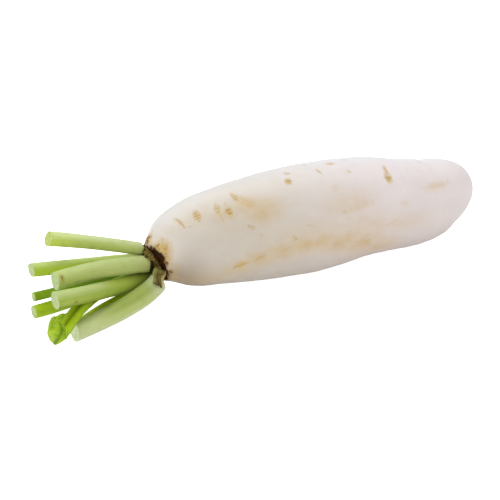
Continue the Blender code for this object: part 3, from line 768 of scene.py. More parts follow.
def ring_stains(clock, depth, distance):
    """Ochre and brown of the marks round the crown."""
    ochre = np.zeros(len(clock))
    brown = np.zeros(len(clock))
    for middle, edge, length_round, length_away, ochre_here, brown_here in CROWN_MARKS:
        turn = np.radians(turn_from(middle, clock))
        far = np.hypot(turn * distance / (length_round / 2), (depth - edge) / (length_away / 2))
        ochre = np.maximum(ochre, ochre_here * (RING_OCHRE_REACH - far))
        brown = np.maximum(brown, brown_here * (RING_BROWN_REACH - far))
    return ochre, brown


def sculpt_root(root):
    """Waves, dents and the flat resting spot, and where the marks lie, for the skin's material."""
    spots = points_of(root)
    x = spots[:, 0]
    angle, radius = root_place(spots)
    coarse, medium = (rough_field(spots, scale, seed) for seed, scale in enumerate(ROOT_NOISE, 1))
    lift = wave_skin(x, angle, radius)
    lift += SKIN_BUMPS * medium + WRINKLE_HEIGHT * np.sin(x * WRINKLE_TURNS + 2.2 * coarse)
    values = press_marks(lift, x, angle, radius, medium)
    values["wash"] = np.zeros(len(x))
    for *place, ochre in STAINS:
        far = mark_place(x, angle, radius, (*place, 0))[0]
        values["wash"] = np.maximum(values["wash"], ochre * bell(far, 1))
    values["tail"] = (1 - ease(*TIP_STAIN_RADII, radius)) * ease(*TIP_STAIN_STARTS, x)
    clock, height, distance = crown_place(spots)
    values["ring_ochre"], values["ring_brown"] = ring_stains(clock, -height, distance)
    values["edge"] = -height - round_crown(clock, RING_REACH)
    # painted shade under the root, darkest near the crown
    layers = [dark * ease(*sines, np.sin(angle)) * (1 - ease(*fade, x)) for dark, sines, fade in PAINTED_UNDER_SHADES]
    values["underside"] = sum(layers)
    # painted light on the top
    degrees = np.remainder(np.degrees(angle), 360)
    values["painted_top_light"] = ease(*PAINTED_TOP_LIGHT_STARTS, degrees) * (1 - ease(*PAINTED_TOP_LIGHT_ENDS, degrees))
    spots = spots + points_of(root, "normal") * lift[:, None] + drawn_in(spots)
    spots[:, 2] = np.maximum(spots[:, 2], 0.0)
    move_points(root, spots)
    for name, value in values.items():
        store(root, name, value)


def model_root():
    """The root's skin, lofted ring by ring from inside the crown to the tail stub."""
    rings = [(crown_point(0, 0, height), -CROWN_AXIS, radius) for height, radius in SKIN_LIP]
    outline = spaced_rings(OUTLINE, ROOT_RINGS)
    travelled = 0.0
    for at, (x, radius, y, z) in enumerate(outline):
        before = outline[max(at - 1, 0)]
        after = outline[min(at + 1, ROOT_RINGS - 1)]
        run = Vector((after[0] - before[0], after[2] - before[2], after[3] - before[3]))
        travelled += math.hypot(x - before[0], radius - before[1])
        turned = min(1.0, travelled / CROWN_TURN)
        facing = (-CROWN_AXIS).lerp(run.normalized(), turned).normalized()
        rings.append((Vector((x, y, z)), facing, radius))
    tip_y, tip_z = ROOT_STATIONS[-1][2:]
    rings += [(Vector((x, tip_y, tip_z)), Vector((1, 0, 0)), radius) for x, radius in TAIL_RINGS]
    root = loft(rings, ROOT_SIDES, "root_skin")
    sculpt_root(root)
    return root


def model_collar():
    """The brown crown: a band of old leaf scars with a ragged rim, and the top the stalks stand on."""
    rings = [(crown_point(0, 0, height), CROWN_AXIS, radius) for height, radius in COLLAR_RINGS]
    collar = loft(rings, COLLAR_SIDES, "crown")
    spots = points_of(collar)
    clock, height, radius = crown_place(spots)
    around = np.radians(clock)
    fields = (rough_field(spots, scale, seed) for seed, scale in enumerate(COLLAR_NOISE, 4))
    coarse, medium, fine = fields
    out = np.array([crown_point(math.cos(a), math.sin(a), 0) - CROWN_FOOT for a in around])
    side_band = ease(*SIDE_HEIGHTS, height) * ease(*SIDE_RADII, radius)
    turn = (clock / 360 * LEAF_SCARS + height / COLLAR_TOP * 0.5) % 1.0
    folds = np.sin(around * SCAR_FOLDS + 5 * coarse)
    bumps = 0.5 * (turn**2 - 0.4) + 0.16 * folds + 0.5 * coarse + 0.40 * medium + 0.18 * fine
    lift = SCAR_HEIGHT * side_band * bumps
    rise = np.zeros(len(spots))
    for start, stop, top in RIM_STRETCHES:
        inside = np.minimum(clock - start, stop - clock)
        inside = np.maximum(inside, np.minimum(clock + 360 - start, stop - clock - 360))
        rise += top * np.clip(inside / RIM_FADE, 0, 1)
    rise *= 1 + 0.35 * medium + 0.25 * fine + 0.25 * np.sin(around * RIM_TEETH)
    rise *= ease(*RIM_HEIGHTS, height) * ease(*RIM_RADII, radius)
    spots += drawn_in(spots) + out * lift[:, None] + np.array(CROWN_AXIS) * rise[:, None]
    inner = 1 - ease(*TOP_RADII, radius)
    spots += np.array(CROWN_AXIS) * (inner * (0.0004 * coarse + 0.0002 * medium))[:, None]
    move_points(collar, spots)
    store(collar, "height", height + rise - round_crown(clock, GROOVE_WIDTHS))
    store(collar, "proud", 0.5 + bumps)
    return collar


def bezier(route, t):
    """Point and direction of travel on the curve from a stalk's foot to its end."""
    foot, knee, end = route
    point = (1 - t) ** 2 * foot + 2 * t * (1 - t) * knee + t**2 * end
    run = 2 * (1 - t) * (knee - foot) + 2 * t * (end - knee)
    return point, run.normalized()


def stalk_radius(name, t):
    """The plain radius of a stalk along its length."""
    foot, middle, end = STALKS[name][3]
    if t < STALK_MIDDLE:
        return foot + (middle - foot) * t / STALK_MIDDLE
    return middle + (end - middle) * (t - STALK_MIDDLE) / (1 - STALK_MIDDLE)


def stalk_route(name):
    """Foot, knee and end of a stalk as points."""
    (toward, up), knee, end, _ = STALKS[name]
    return crown_point(toward, up, COLLAR_TOP), Vector(knee), Vector(end)


def stalk_section(seed):
    """The cross-section that a stalk is swept from: a round with a shallow channel and fine ribs."""
    draw = random.Random(seed)
    weights = [draw.uniform(0.4, 1.0) for _ in range(RIBS)]
    deselect()
    bpy.ops.mesh.primitive_circle_add(vertices=STALK_SIDES, radius=1.0)
    for vertex in bpy.context.object.data.vertices:
        angle = math.atan2(vertex.co.y, vertex.co.x)
        turn = math.remainder(angle - math.pi / 2, 2 * math.pi)
        phase = (angle / (2 * math.pi)) % 1.0 * RIBS
        rib = weights[int(phase) % RIBS] * math.cos(2 * math.pi * phase)
        vertex.co *= 1 - CHANNEL_DEPTH * bell(turn, CHANNEL_WIDTH) + RIB_HEIGHT * rib
    bpy.ops.object.convert(target="CURVE")
    return bpy.context.object


def sweep_stalk(name, seed):
    """Sweep the cross-section along the stalk, cut both ends and shape the cut face."""
    route = stalk_route(name)
    foot, _, end = route
    first_radius, _, last_radius = STALKS[name][3]
    cut = OWN_CUTS.get(name, CUT_NORMAL)
    section = stalk_section(seed)
    path = bpy.data.curves.new(name, "CURVE")
    path.dimensions = "3D"
    path.twist_mode = "Z_UP"
    path.resolution_u = KNOT_STEPS
    path.bevel_mode = "OBJECT"
    path.bevel_object = section
    length = (end - foot).length
    first, out = bezier(route, 0.0)
    places = [(first - out * STALK_OVERRUN, first_radius * FOOT_NECK)]
    for t in STALK_KNOTS:
        point, run = bezier(route, t)
        neck = math.sqrt(1 - (1 - min(1.0, t * length / FOOT_REACH)) ** 2)
        places.append((point, stalk_radius(name, t) * (FOOT_NECK + (1 - FOOT_NECK) * neck)))
    places.append((end + run * STALK_OVERRUN, last_radius))
    line = path.splines.new("BEZIER")
    line.bezier_points.add(len(places) - 1)
    for knot, (point, radius) in zip(line.bezier_points, places):
        knot.co = point
        knot.radius = radius
        knot.handle_left_type = "AUTO"
        knot.handle_right_type = "AUTO"
    stalk = bpy.data.objects.new(name + "_skin", path)
    bpy.context.scene.collection.objects.link(stalk)
    select_only(stalk)
    bpy.ops.object.convert(target="MESH")
    stalk = bpy.context.object
    bpy.data.objects.remove(section, do_unlink=True)
    edit_all()
    bpy.ops.mesh.bisect(plane_co=foot, plane_no=CROWN_AXIS, use_fill=True, clear_inner=True)
    bpy.ops.mesh.select_all(action="SELECT")
    bpy.ops.mesh.bisect(plane_co=end, plane_no=cut, use_fill=True, clear_outer=True)
    before = 1.0
    for share, rise in CUT_STEPS:
        move = {"value": rise * last_radius * cut}
        bpy.ops.mesh.extrude_region_move(TRANSFORM_OT_translate=move)
        shrink = share / before
        bpy.ops.transform.resize(value=(shrink, shrink, shrink), center_override=end)
        before = share
    bpy.ops.mesh.poke()
    bpy.ops.object.mode_set(mode="OBJECT")
    return stalk


def straighten(spots, route):
    """Places along and across a stalk, as if it were straight: along it, sideways and up."""
    walk = [bezier(route, step / ROUTE_STEPS) for step in range(ROUTE_STEPS + 1)]
    line = np.array([point for point, _ in walk])
    lengths = np.concatenate(([0.0], np.cumsum(np.linalg.norm(np.diff(line, axis=0), axis=1))))
    nearest = np.argmin(((spots[:, None, :] - line[None, :, :]) ** 2).sum(2), axis=1)
    ways = np.array([(run, *cross_frame(-run)) for _, run in walk])[nearest]
    places = ((spots - line[nearest])[:, None, :] * ways).sum(2)
    places[:, 0] += lengths[nearest]
    return places, lengths[-1]


def dress_stalk(stalk, name, seed):
    """Soft dents and creases on a stalk, and its straightened coordinates for the fibres."""
    route = stalk_route(name)
    end = route[2]
    normal = OWN_CUTS.get(name, CUT_NORMAL)
    settle(stalk, SHARP_EDGE)
    spots = points_of(stalk)
    on_cut = np.zeros(len(spots), dtype=bool)
    cut_faces = []
    for face in stalk.data.polygons:
        cut = abs(face.normal.dot(normal)) > 0.5 and (face.center - end).dot(normal) > -CUT_BAND
        cut_faces.append(cut)
        if cut:
            on_cut[list(face.vertices)] = True
    straight, length = straighten(spots, route)
    along, side, up = straight.T
    soft = rough_field(straight * STALK_DENT_STRETCH, STALK_DENT_NOISE, seed)
    crease = rough_field(straight * CREASE_STRETCH, CREASE_NOISE, seed + 20)
    near_foot = 1 - ease(*NEAR_FOOT, along)
    lift = STALK_DENTS * soft + (CREASES + FOOT_CREASES * near_foot) * crease
    cut_lift = CUT_BUMPS * rough_field(spots, CUT_BUMPS_NOISE, seed + 40)
    cut_lift += CUT_GRAIN * rough_field(spots, CUT_GRAIN_NOISE, seed)
    lift = np.where(on_cut, cut_lift, lift)
    turned = np.degrees(np.arctan2(up, side))
    distance = np.hypot(side, up)
    # The midrib fold is dented here and darkened with painted shade in the material.
    midrib_fold_and_shade = np.zeros(len(spots))
    if name == LEAFY:
        end_side, end_up = cross_frame(-bezier(route, 1.0)[1])
        facing = math.degrees(math.atan2(BLADE_FACING.dot(end_up), BLADE_FACING.dot(end_side)))
        round_way = np.radians(turn_from(facing, turned)) * distance
        midrib_fold_and_shade = bell(round_way, MIDRIB_WIDTH) * ease(*MIDRIB_STARTS, along / length)
    lift -= FOLD_DENT * midrib_fold_and_shade
    move_points(stalk, spots + points_of(stalk, "normal") * lift[:, None])
    nick = np.zeros(len(spots))
    for owner, share, angle, long, wide, brown in NICKS:
        if owner == name:
            round_way = np.radians(turn_from(angle, turned)) * distance
            far = np.hypot((along - share * length) / (long / 2), round_way / (wide / 2))
            nick = np.maximum(nick, brown * (NICK_REACH - far))
    store(stalk, "straight", straight, "FLOAT_VECTOR")
    store(stalk, "share", np.clip(along / length, 0, 1))
    store(stalk, "nick", nick)
    store(stalk, "midrib_fold_and_shade", midrib_fold_and_shade)
    store(stalk, "cut", cut_faces, domain="FACE")


def model_sheet(name, grid, thickness, place):
    """A thin piece: a grid laid point by point, from its shares along and across, and thickened."""
    deselect()
    rows, columns = grid
    bpy.ops.mesh.primitive_grid_add(x_subdivisions=columns, y_subdivisions=rows, size=1.0)
    sheet = bpy.context.object
    sheet.name = name
    kept = []
    for vertex in sheet.data.vertices:
        vertex.co, values = place(vertex.co.y + 0.5, vertex.co.x + 0.5)
        kept.append(values)
    for field in kept[0]:
        store(sheet, field, [values[field] for values in kept])
    refine(sheet, 1, thickness)
    return sheet


def blade_reach(share):
    """How far the leaf scrap reaches out and in along its length: it widens in lobes, ends round."""
    grown = math.sin(math.pi / 2 * min(1.0, share / BLADE_WIDEST)) ** BLADE_GROWTH
    late = max(0.0, share - BLADE_WIDEST) / (BLADE_TAIL_END - BLADE_WIDEST)
    tail = math.sqrt(1 - late**2)
    lobes = 1 + BLADE_LOBES * math.sin(BLADE_LOBE_HALVES * math.pi * share)
    lobes += 0.035 * math.sin(19 * share + 1) + 0.02 * math.sin(43 * share)
    outer = BLADE_OUTER * (BLADE_OUTER_START + (1 - BLADE_OUTER_START) * grown) * tail * lobes
    return outer, BLADE_INNER * tail


def model_blade():
    """The crinkled scrap of leaf: a grid laid along the stalk's end, puckered between its veins."""
    route = stalk_route(LEAFY)
    run = bezier(route, 1.0)[1]
    facing = (BLADE_FACING - BLADE_FACING.dot(run) * run).normalized()
    out = facing.cross(run)
    if out.x > 0:
        out = -out
    past_end = BLADE_ONWARD * run + Vector(BLADE_DROOP)

    def place(share, over):
        along = -BLADE_BACK + (BLADE_BACK + BLADE_PAST) * share
        spine = route[2] + min(along, 0.0) * run + max(along, 0.0) * past_end
        outer, inner = blade_reach(share)
        across = -inner + (outer + inner) * over
        reach = max(0.0, across) / BLADE_OUTER
        branch = (share * BLADE_VEINS - reach * VEIN_SLANT) % 1.0
        pucker = math.sin(math.pi * branch) ** 2
        spot = Vector((share * 9, reach * 7, 0))
        bubble = noise.noise(spot) + 0.5 * noise.noise(spot * 2.3)
        wave = math.sin(9.0 * share + 3.0 * reach) * math.cos(6.0 * reach - 2.0 * share)
        frill = math.sin(26 * share + 4 * noise.noise(spot)) * reach**3
        lift = BLADE_WAVES * wave + BLADE_BUBBLES * bubble - BLADE_PUCKERS * pucker
        lift = reach * lift + BLADE_CURL * reach**2
        # the midrib fold, also darkened with painted shade in the material
        midrib_fold_and_shade = bell(across, MIDRIB_WIDTH)
        lift += BLADE_FRILL * frill - MIDRIB_DEPTH * midrib_fold_and_shade
        vein = bell(branch - 0.5, VEIN_WIDTH) * min(1.0, 4 * reach)
        rim = max(0.0, (share - RIM_SHARE) / RIM_SHARE_FADE, (over - RIM_OVER) / RIM_OVER_FADE)
        spot = spine + across * out + facing * lift
        return spot, {"vein": vein, "midrib_fold_and_shade": midrib_fold_and_shade, "rim": min(1.0, rim)}

    return model_sheet("leaf_blade", BLADE_GRID, BLADE_THICKNESS, place)


def clear_of_stalk(point, name):
    """The point, pushed out of a stalk if it lies in it or too close."""
    route = stalk_route(name)
    shares = [step / HUG_STEPS for step in range(HUG_STEPS + 1)]
    nearest = min(shares, key=lambda t: (point - bezier(route, t)[0]).length)
    centre, run = bezier(route, nearest)
    clear = stalk_radius(name, nearest) + HUG_GAP
    along = (point - centre).dot(run) * run
    away = point - centre - along
    return centre + along + away.normalized() * clear if away.length < clear else point


def model_withered(name, seed):
    """A short dry scale on the crown's rim, curved round it, torn at its end and creased."""
    clock, height, length, width, lean, turned = WITHERED[name]
    slope = math.tan(math.radians(lean))
    turned = math.radians(turned)

    def place(share, over):
        torn = noise.noise(Vector((over * 6, seed, 0))) + 0.5 * noise.noise(Vector((over * 17, seed, 3)))
        reach = share * (1 + 0.10 * torn * share)
        across = (over - 0.5) * width * (1 - WITHERED_TAPER * share**2.2)
        along = length * reach
        turn = math.cos(turned) * across - math.sin(turned) * along
        turn = math.radians(clock) + turn / WITHERED_RADIUS
        rise = math.sin(turned) * across + math.cos(turned) * along
        crease = math.sin(over * 34 + 3 * noise.noise(Vector((over * 5, share * 3, seed))))
        curl = WITHERED_CURL * math.sin(7 * share + 2.5 * over) + WITHERED_CREASES * crease
        curl += WITHERED_BUMPS * noise.noise(Vector((over * 7, share * 5, seed + 9)))
        out = WITHERED_RADIUS + slope * length * reach**1.1 + curl
        spot = crown_point(out * math.cos(turn), out * math.sin(turn), height + rise)
        spot = clear_of_stalk(spot, HUGGED_STALK) + 0.5 * curl * CROWN_SIDE
        return spot, {"share": share, "over": over}

    return model_sheet(name + "_scale", WITHERED_GRID, WITHERED_THICKNESS, place)


class Look:
    """The nodes of a material or a group, with short ways to add them, and the colour so far."""

    def __init__(self, tree, colour=None):
        self.tree = tree
        self.colour = colour

    def put(self, socket, value):
        """Set a socket's value, or link it if the value is another node's output."""
        if isinstance(value, bpy.types.NodeSocket):
            self.tree.links.new(value, socket)
        elif isinstance(value, tuple) and len(value) == 3 and socket.type == "RGBA":
            socket.default_value = (*value, 1.0)
        else:
            socket.default_value = value

    def node(self, kind, inputs=None, **settings):
        """A node with some of its settings and inputs given."""
        node = self.tree.nodes.new("ShaderNode" + kind)
        for setting, value in settings.items():
            setattr(node, setting, value)
        for socket, value in (inputs or {}).items():
            self.put(node.inputs[socket], value)
        return node

    def group(self, group, inputs):
        """The outputs of a group placed with its own values."""
        return self.node("Group", inputs, node_tree=group).outputs

    def mix(self, share, first, second):
        """One colour turned into another by a share."""
        return self.node("Mix", {0: share, 6: first, 7: second}, data_type="RGBA").outputs[2]

    def coat(self, share, tone):
        """Turn the colour so far into a tone by a share."""
        self.colour = self.mix(share, self.colour, tone)

    def maths(self, operation, first, second=0.5, third=0.0):
        """One sum on values."""
        return self.node("Math", {0: first, 1: second, 2: third}, operation=operation).outputs[0]

    def highest(self, first, *others):
        """The highest of some values."""
        for value in others:
            first = self.maths("MAXIMUM", first, value)
        return first

    def total(self, *terms):
        """A sum of values, each with its weight."""
        result = 0.0
        for value, weight in terms:
            result = self.maths("MULTIPLY_ADD", value, weight, result)
        return result

    def product(self, first, *others):
        """Values multiplied together."""
        for value in others:
            first = self.maths("MULTIPLY", first, value)
        return first

    def ramp(self, value, low, high, to_low=0.0, to_high=1.0):
        """A value taken smoothly from one range to another."""
        inputs = {"Value": value, "From Min": low, "From Max": high, "To Min": to_low, "To Max": to_high}
        return self.node("MapRange", inputs, interpolation_type="SMOOTHSTEP").outputs["Result"]

    def band(self, value, middle, half):
        """1 at the middle value, falling to 0 at half a width from it."""
        away = self.maths("ABSOLUTE", self.maths("SUBTRACT", value, middle))
        return self.ramp(away, 0.0, half, 1.0, 0.0)

    def read(self, name, output="Fac"):
        """An attribute of the piece."""
        return self.node("Attribute", attribute_name=name).outputs[output]

    def place(self, scale=(1, 1, 1)):
        """The piece's own coordinates, stretched."""
        place = self.node("TexCoord").outputs["Object"]
        return self.node("Mapping", {"Vector": place, "Scale": scale}).outputs[0]

    def parts(self, place):
        """The three coordinates of a place."""
        return self.node("SeparateXYZ", {0: place}).outputs

    def joined(self, x, y, z):
        """A place from its three coordinates."""
        return self.node("CombineXYZ", {0: x, 1: y, 2: z}).outputs[0]

    def noise(self, place, size, detail, roughness=0.5):
        """Cloudy noise from about 0.3 to 0.7."""
        inputs = {"Vector": place, "Scale": size, "Detail": detail, "Roughness": roughness}
        return self.node("TexNoise", inputs).outputs["Fac"]

    def speckle(self, place, size):
        """Noise spread round zero, mostly from -1 to 1."""
        return self.maths("MULTIPLY_ADD", self.noise(place, size, 4.0), 5.0, -2.5)

    def finish(self, shader, height, distance, strength):
        """Give the shader the colour, and relief too fine for the mesh."""
        self.put(shader.inputs["Base Color"], self.colour)
        inputs = {"Height": height, "Distance": distance, "Strength": strength}
        self.put(shader.inputs["Normal"], self.node("Bump", inputs).outputs["Normal"])


def new_group(name, inputs, outputs):
    """A node group with named inputs and outputs: its nodes, and the sockets of both."""
    group = bpy.data.node_groups.new(name, "ShaderNodeTree")
    for label, kind, value in inputs:
        socket = group.interface.new_socket(label, in_out="INPUT", socket_type="NodeSocket" + kind)
        if value is not None:
            socket.default_value = value
    for label, kind in outputs:
        group.interface.new_socket(label, in_out="OUTPUT", socket_type="NodeSocket" + kind)
    entry = group.nodes.new("NodeGroupInput").outputs
    leave = group.nodes.new("NodeGroupOutput").inputs
    return Look(group), entry, leave


def make_mottle():
    """Uneven tone from two sizes of noise, and its height for a bump."""
    look, entry, leave = new_group(
        "Mottle",
        (("Place", "Vector", None), ("Size", "Float", 100.0), ("Tone", "Color", (0.8, 0.8, 0.8, 1)),
         ("Other tone", "Color", (0.7, 0.7, 0.7, 1)), ("Amount", "Float", 0.5)),
        (("Colour", "Color"), ("Height", "Float")),
    )
    big = look.noise(entry["Place"], entry["Size"], 5.0)
    small = look.noise(entry["Place"], look.product(entry["Size"], 6.3), 3.0)
    cloud = look.total((small, 0.35), (big, 0.65))
    share = look.product(look.ramp(cloud, 0.34, 0.66), entry["Amount"])
    look.put(leave["Colour"], look.mix(share, entry["Tone"], entry["Other tone"]))
    look.put(leave["Height"], cloud)
    return look.tree


def make_fibres():
    """Fine streaks along a stalk or a scale, from its straightened coordinates."""
    look, entry, leave = new_group(
        "Fibres",
        (("Place", "Vector", None), ("Fineness", "Float", 900.0), ("Stretch", "Float", 0.05)),
        (("Streak", "Float"), ("Height", "Float")),
    )
    along, side, up = look.parts(entry["Place"])
    place = look.joined(look.product(along, entry["Stretch"]), side, up)
    thin = look.noise(place, entry["Fineness"], 4.0, 0.6)
    wide = look.noise(place, look.product(entry["Fineness"], 0.3), 2.0)
    both = look.total((thin, 0.6), (wide, 0.4))
    look.put(leave["Streak"], look.ramp(both, 0.36, 0.64))
    look.put(leave["Height"], both)
    return look.tree


def new_material(name, roughness, specular=0.5, soft=0.0, reach=(0.003, 0.002, 0.001), coat=(0.0, 0.25)):
    """A material, its nodes and its Principled shader. Light goes in by soft and reach, and the coat
    has a weight and a roughness."""
    material = bpy.data.materials.new(name)
    material.use_nodes = True
    shader = material.node_tree.nodes["Principled BSDF"]
    values = {
        "Roughness": roughness,
        "Specular IOR Level": specular,
        "Coat Weight": coat[0],
        "Coat Roughness": coat[1],
        "Subsurface Weight": soft,
        "Subsurface Radius": reach,
        "Subsurface Scale": 1.0,
    }
    for socket, value in values.items():
        shader.inputs[socket].default_value = value
    return material, Look(material.node_tree), shader


def skin_material(mottle):
    """White waxy skin, yellower towards the crown, with ochre stains, barred scars and cracks, painted
    light on its top and near the crown's edge, and painted shade on its underside.
    """
    reach = (0.0040, 0.0028, 0.0022)
    material, look, shader = new_material("radish_skin", 0.42, 0.08, 0.20, reach, (0.55, 0.38))
    place = look.place()
    large, medium, small = (look.speckle(place, size) for size in (110.0, 420.0, 1200.0))
    crown_share = look.ramp(look.total((look.parts(place)[0], 1.0), (large, 0.006)), -0.07, 0.05)
    # Towards the tip the skin is its own pinkish white, partly lightened as painted light where light falls
    # on the tip.
    tone = look.mix(crown_share, (0.720, 0.662, 0.585), (0.855, 0.775, 0.765))
    other = look.mix(crown_share, (0.680, 0.615, 0.538), (0.810, 0.730, 0.710))
    inputs = {"Place": place, "Size": 26.0, "Tone": tone, "Other tone": other, "Amount": 0.8}
    base = look.group(mottle, inputs)
    look.colour = base["Colour"]
    rings = look.noise(look.place((14.0, 1.0, 1.0)), 42.0, 4.0)
    look.coat(look.ramp(rings, 0.56, 0.74, 0.0, 0.09), (0.58, 0.51, 0.42))
    edge = look.read("edge")
    # painted light: the skin paler near the crown's edge
    look.coat(look.ramp(edge, 0.002, 0.018, 0.60, 0.0), (0.86, 0.79, 0.69))
    # painted light: the top lighter and cooler
    painted_top_light_tone = look.mix(crown_share, (0.735, 0.700, 0.655), (0.825, 0.800, 0.825))
    look.coat(look.product(look.read("painted_top_light"), 0.9), painted_top_light_tone)
    # painted shade: the underside darker
    look.coat(look.read("underside"), (0.40, 0.32, 0.24))

    wash_noise = look.ramp(look.total((large, 0.6), (medium, 0.4)), -0.8, 0.9, 0.25, 1.35)
    soft_noise = look.ramp(look.total((large, 0.7), (medium, 0.3)), -1.0, 1.0, 0.74, 1.08)
    streak = look.speckle(look.place((0.16, 1.0, 1.0)), 620.0)
    fibrous = look.ramp(streak, -1.0, 1.2, 0.90, 1.12)
    wash = look.product(look.read("wash"), soft_noise, fibrous)
    ragged = look.total((look.read("closeness"), 1.0), (medium, 0.26), (small, 0.12), (streak, 0.12))
    ochre = look.product(look.read("stain"), look.ramp(ragged, -0.15, 1.15))
    near_edge = look.total((edge, 150.0), (large, 0.30), (medium, 0.22), (small, 0.08))
    bleed = look.product(look.ramp(near_edge, 0.15, 1.05, 0.60, 0.0), wash_noise)
    ring_ochre = look.total((look.read("ring_ochre"), 1.0), (medium, 0.20), (small, 0.12))
    tip = look.total((look.read("tail"), 1.0), (medium, 0.10), (small, 0.06))
    tip = look.ramp(tip, 0.15, 1.0, 0.0, 0.60)
    ochre = look.highest(ochre, wash, bleed, look.ramp(ring_ochre, 0.0, 1.45), tip)
    rusty = look.ramp(look.total((large, 0.7), (small, 0.4)), -0.6, 0.9, 0.0, 0.75)
    look.coat(ochre, look.mix(rusty, (0.67, 0.47, 0.16), (0.62, 0.37, 0.11)))

    far = look.read("far")
    inside = look.ramp(look.total((far, 1.0), (medium, 0.12)), 0.55, 0.95, 1.0, 0.0)
    core = look.band(look.total((look.read("across"), 1.0), (medium, 0.10)), 0.0, 0.42)
    bars = look.maths("SINE", look.total((look.read("along"), 2600.0), (medium, 1.1), (large, 1.0)))
    barred = look.ramp(look.total((bars, 1.0), (small, 0.5)), 0.15, 0.9)
    rim = look.product(look.band(look.total((far, 1.0), (medium, 0.16)), 0.80, 0.26), 0.20)
    barred = look.highest(look.product(barred, inside), rim)
    plain = look.product(core, inside)
    kind = look.read("bars")
    drawn = look.total((look.product(barred, kind), 1.0), (plain, 1.0), (look.product(plain, kind), -1.0))
    brown = look.product(drawn, look.read("line"), look.ramp(small, -1.2, 0.6, 0.15, 0.68))
    look.coat(brown, (0.27, 0.145, 0.040))

    dark = look.total((edge, 1000.0), (medium, 0.9), (small, 0.3))
    dark = look.ramp(dark, 0.2, 2.1, 1.0, 0.0)
    spatter = look.ramp(look.total((small, 0.6), (medium, 0.8)), 0.55, 1.15)
    spatter = look.product(spatter, look.ramp(edge, 0.0015, 0.0075, 0.9, 0.0))
    ring_brown = look.total((look.read("ring_brown"), 1.0), (medium, 0.30), (small, 0.20))
    maroon = look.mix(look.ramp(small, -0.7, 0.9), (0.010, 0.004, 0.0005), (0.075, 0.026, 0.003))
    crown_tone = look.mix(look.ramp(dark, 0.35, 0.95), (0.22, 0.095, 0.018), maroon)
    dark = look.highest(dark, spatter, look.ramp(ring_brown, 0.35, 1.05, 0.0, 0.9))
    look.coat(dark, crown_tone)
    look.put(shader.inputs["Coat Weight"], look.maths("MULTIPLY_ADD", dark, -0.55, 0.55))
    brown = look.highest(brown, dark)
    look.put(shader.inputs["Roughness"], look.total((brown, 0.3), (ochre, 0.15), (0.40, 1.0)))
    relief = look.total((rings, 0.6), (base["Height"], 1.0), (small, 0.05), (brown, -1.5))
    look.finish(shader, relief, 0.00025, 0.6)
    return material


def stalk_material(name, fibres):
    """Green skin with fine streaks, a dark foot and small brown wounds, painted light and shade on its top,
    its underside and its midrib fold, and a pale cut face.
    """
    reach = (0.0016, 0.0030, 0.0005)
    material, look, shader = new_material(name + "_green", 0.45, 0.16, 0.25, reach)
    straight = look.read("straight", "Vector")
    low = look.parts(straight)[2]
    share = look.read("share")
    streaks = look.group(fibres, {"Place": straight, "Fineness": 1100.0, "Stretch": 0.05})
    # the stalk's own green, with painted shade and light in it
    foot, middle, end = STALK_TONES_LIGHT_AND_SHADE[name]
    look.colour = look.mix(look.ramp(share, 0.02, 0.30), foot, middle)
    look.coat(look.ramp(share, 0.45, 1.0), end)
    pale = tuple(0.75 * tone + add for tone, add in zip(middle, (0.17, 0.17, 0.09)))
    look.coat(look.product(streaks["Streak"], 0.28), pale)
    blotch = look.noise(straight, 160.0, 4.0)
    deep = tuple(0.60 * tone for tone in middle)
    look.coat(look.ramp(blotch, 0.45, 0.75, 0.0, 0.25), deep)
    # painted light and shade on the underside: paler on stalk_8, darker on stalk_5
    turned, painted_under_tone = PAINTED_UNDER_LIGHT_AND_SHADE.get(name, (0.0, middle))
    look.coat(look.ramp(low, 0.0005, -0.0050, 0.0, turned), painted_under_tone)
    # painted highlights on the upper side, and painted shade on stalk_8's upper side
    turned, painted_top_tone = PAINTED_TOP_LIGHT_AND_SHADE.get(name, (0.0, middle))
    painted_top_share = look.ramp(low, 0.0015, 0.0055, 0.0, turned)
    if name in PAINTED_TOP_FADES:
        start, full, fade, stop = PAINTED_TOP_FADES[name]
        painted_top_share = look.product(painted_top_share, look.ramp(share, start, full), look.ramp(share, fade, stop, 1.0, 0.0))
    look.coat(painted_top_share, painted_top_tone)
    # painted shade in the midrib's fold
    look.coat(look.product(look.read("midrib_fold_and_shade"), 0.75), (0.13, 0.20, 0.004))

    rough_share = look.total((share, 1.0), (blotch, 0.010), (0.005, -1.0))
    dark_foot = DARK_FEET.get(name, DARK_FOOT)
    look.coat(look.ramp(rough_share, dark_foot, dark_foot + 0.03, 0.30, 0.0), (0.30, 0.24, 0.07))
    look.coat(look.ramp(rough_share, 0.7 * dark_foot, dark_foot, 0.95, 0.0), (0.020, 0.010, 0.002))
    torn = look.noise(straight, 1500.0, 3.0)
    nick = look.total((look.read("nick"), 1.0), (torn, 0.8), (0.40, -1.0))
    look.coat(look.ramp(nick, 0.05, 0.5, 0.0, 0.55), (0.42, 0.33, 0.06))
    look.coat(look.ramp(nick, 0.55, 1.0, 0.0, 0.9), (0.11, 0.055, 0.010))

    place = look.place()
    cells = look.node("TexVoronoi", {"Vector": place, "Scale": 1100.0}).outputs["Distance"]
    wisps = look.noise(place, 700.0, 5.0)
    pale_flesh, deep_flesh, wispy = OWN_CUT_TONES.get(name, CUT_TONES)
    flesh = look.mix(look.ramp(cells, 0.15, 0.65), pale_flesh, deep_flesh)
    cut = look.read("cut")
    look.coat(cut, look.mix(look.ramp(wisps, 0.5, 0.68, 0.0, 0.5), flesh, wispy))
    relief = look.maths("MULTIPLY_ADD", wisps, cut, streaks["Height"])
    look.finish(shader, relief, 0.00022, 0.7)
    return material


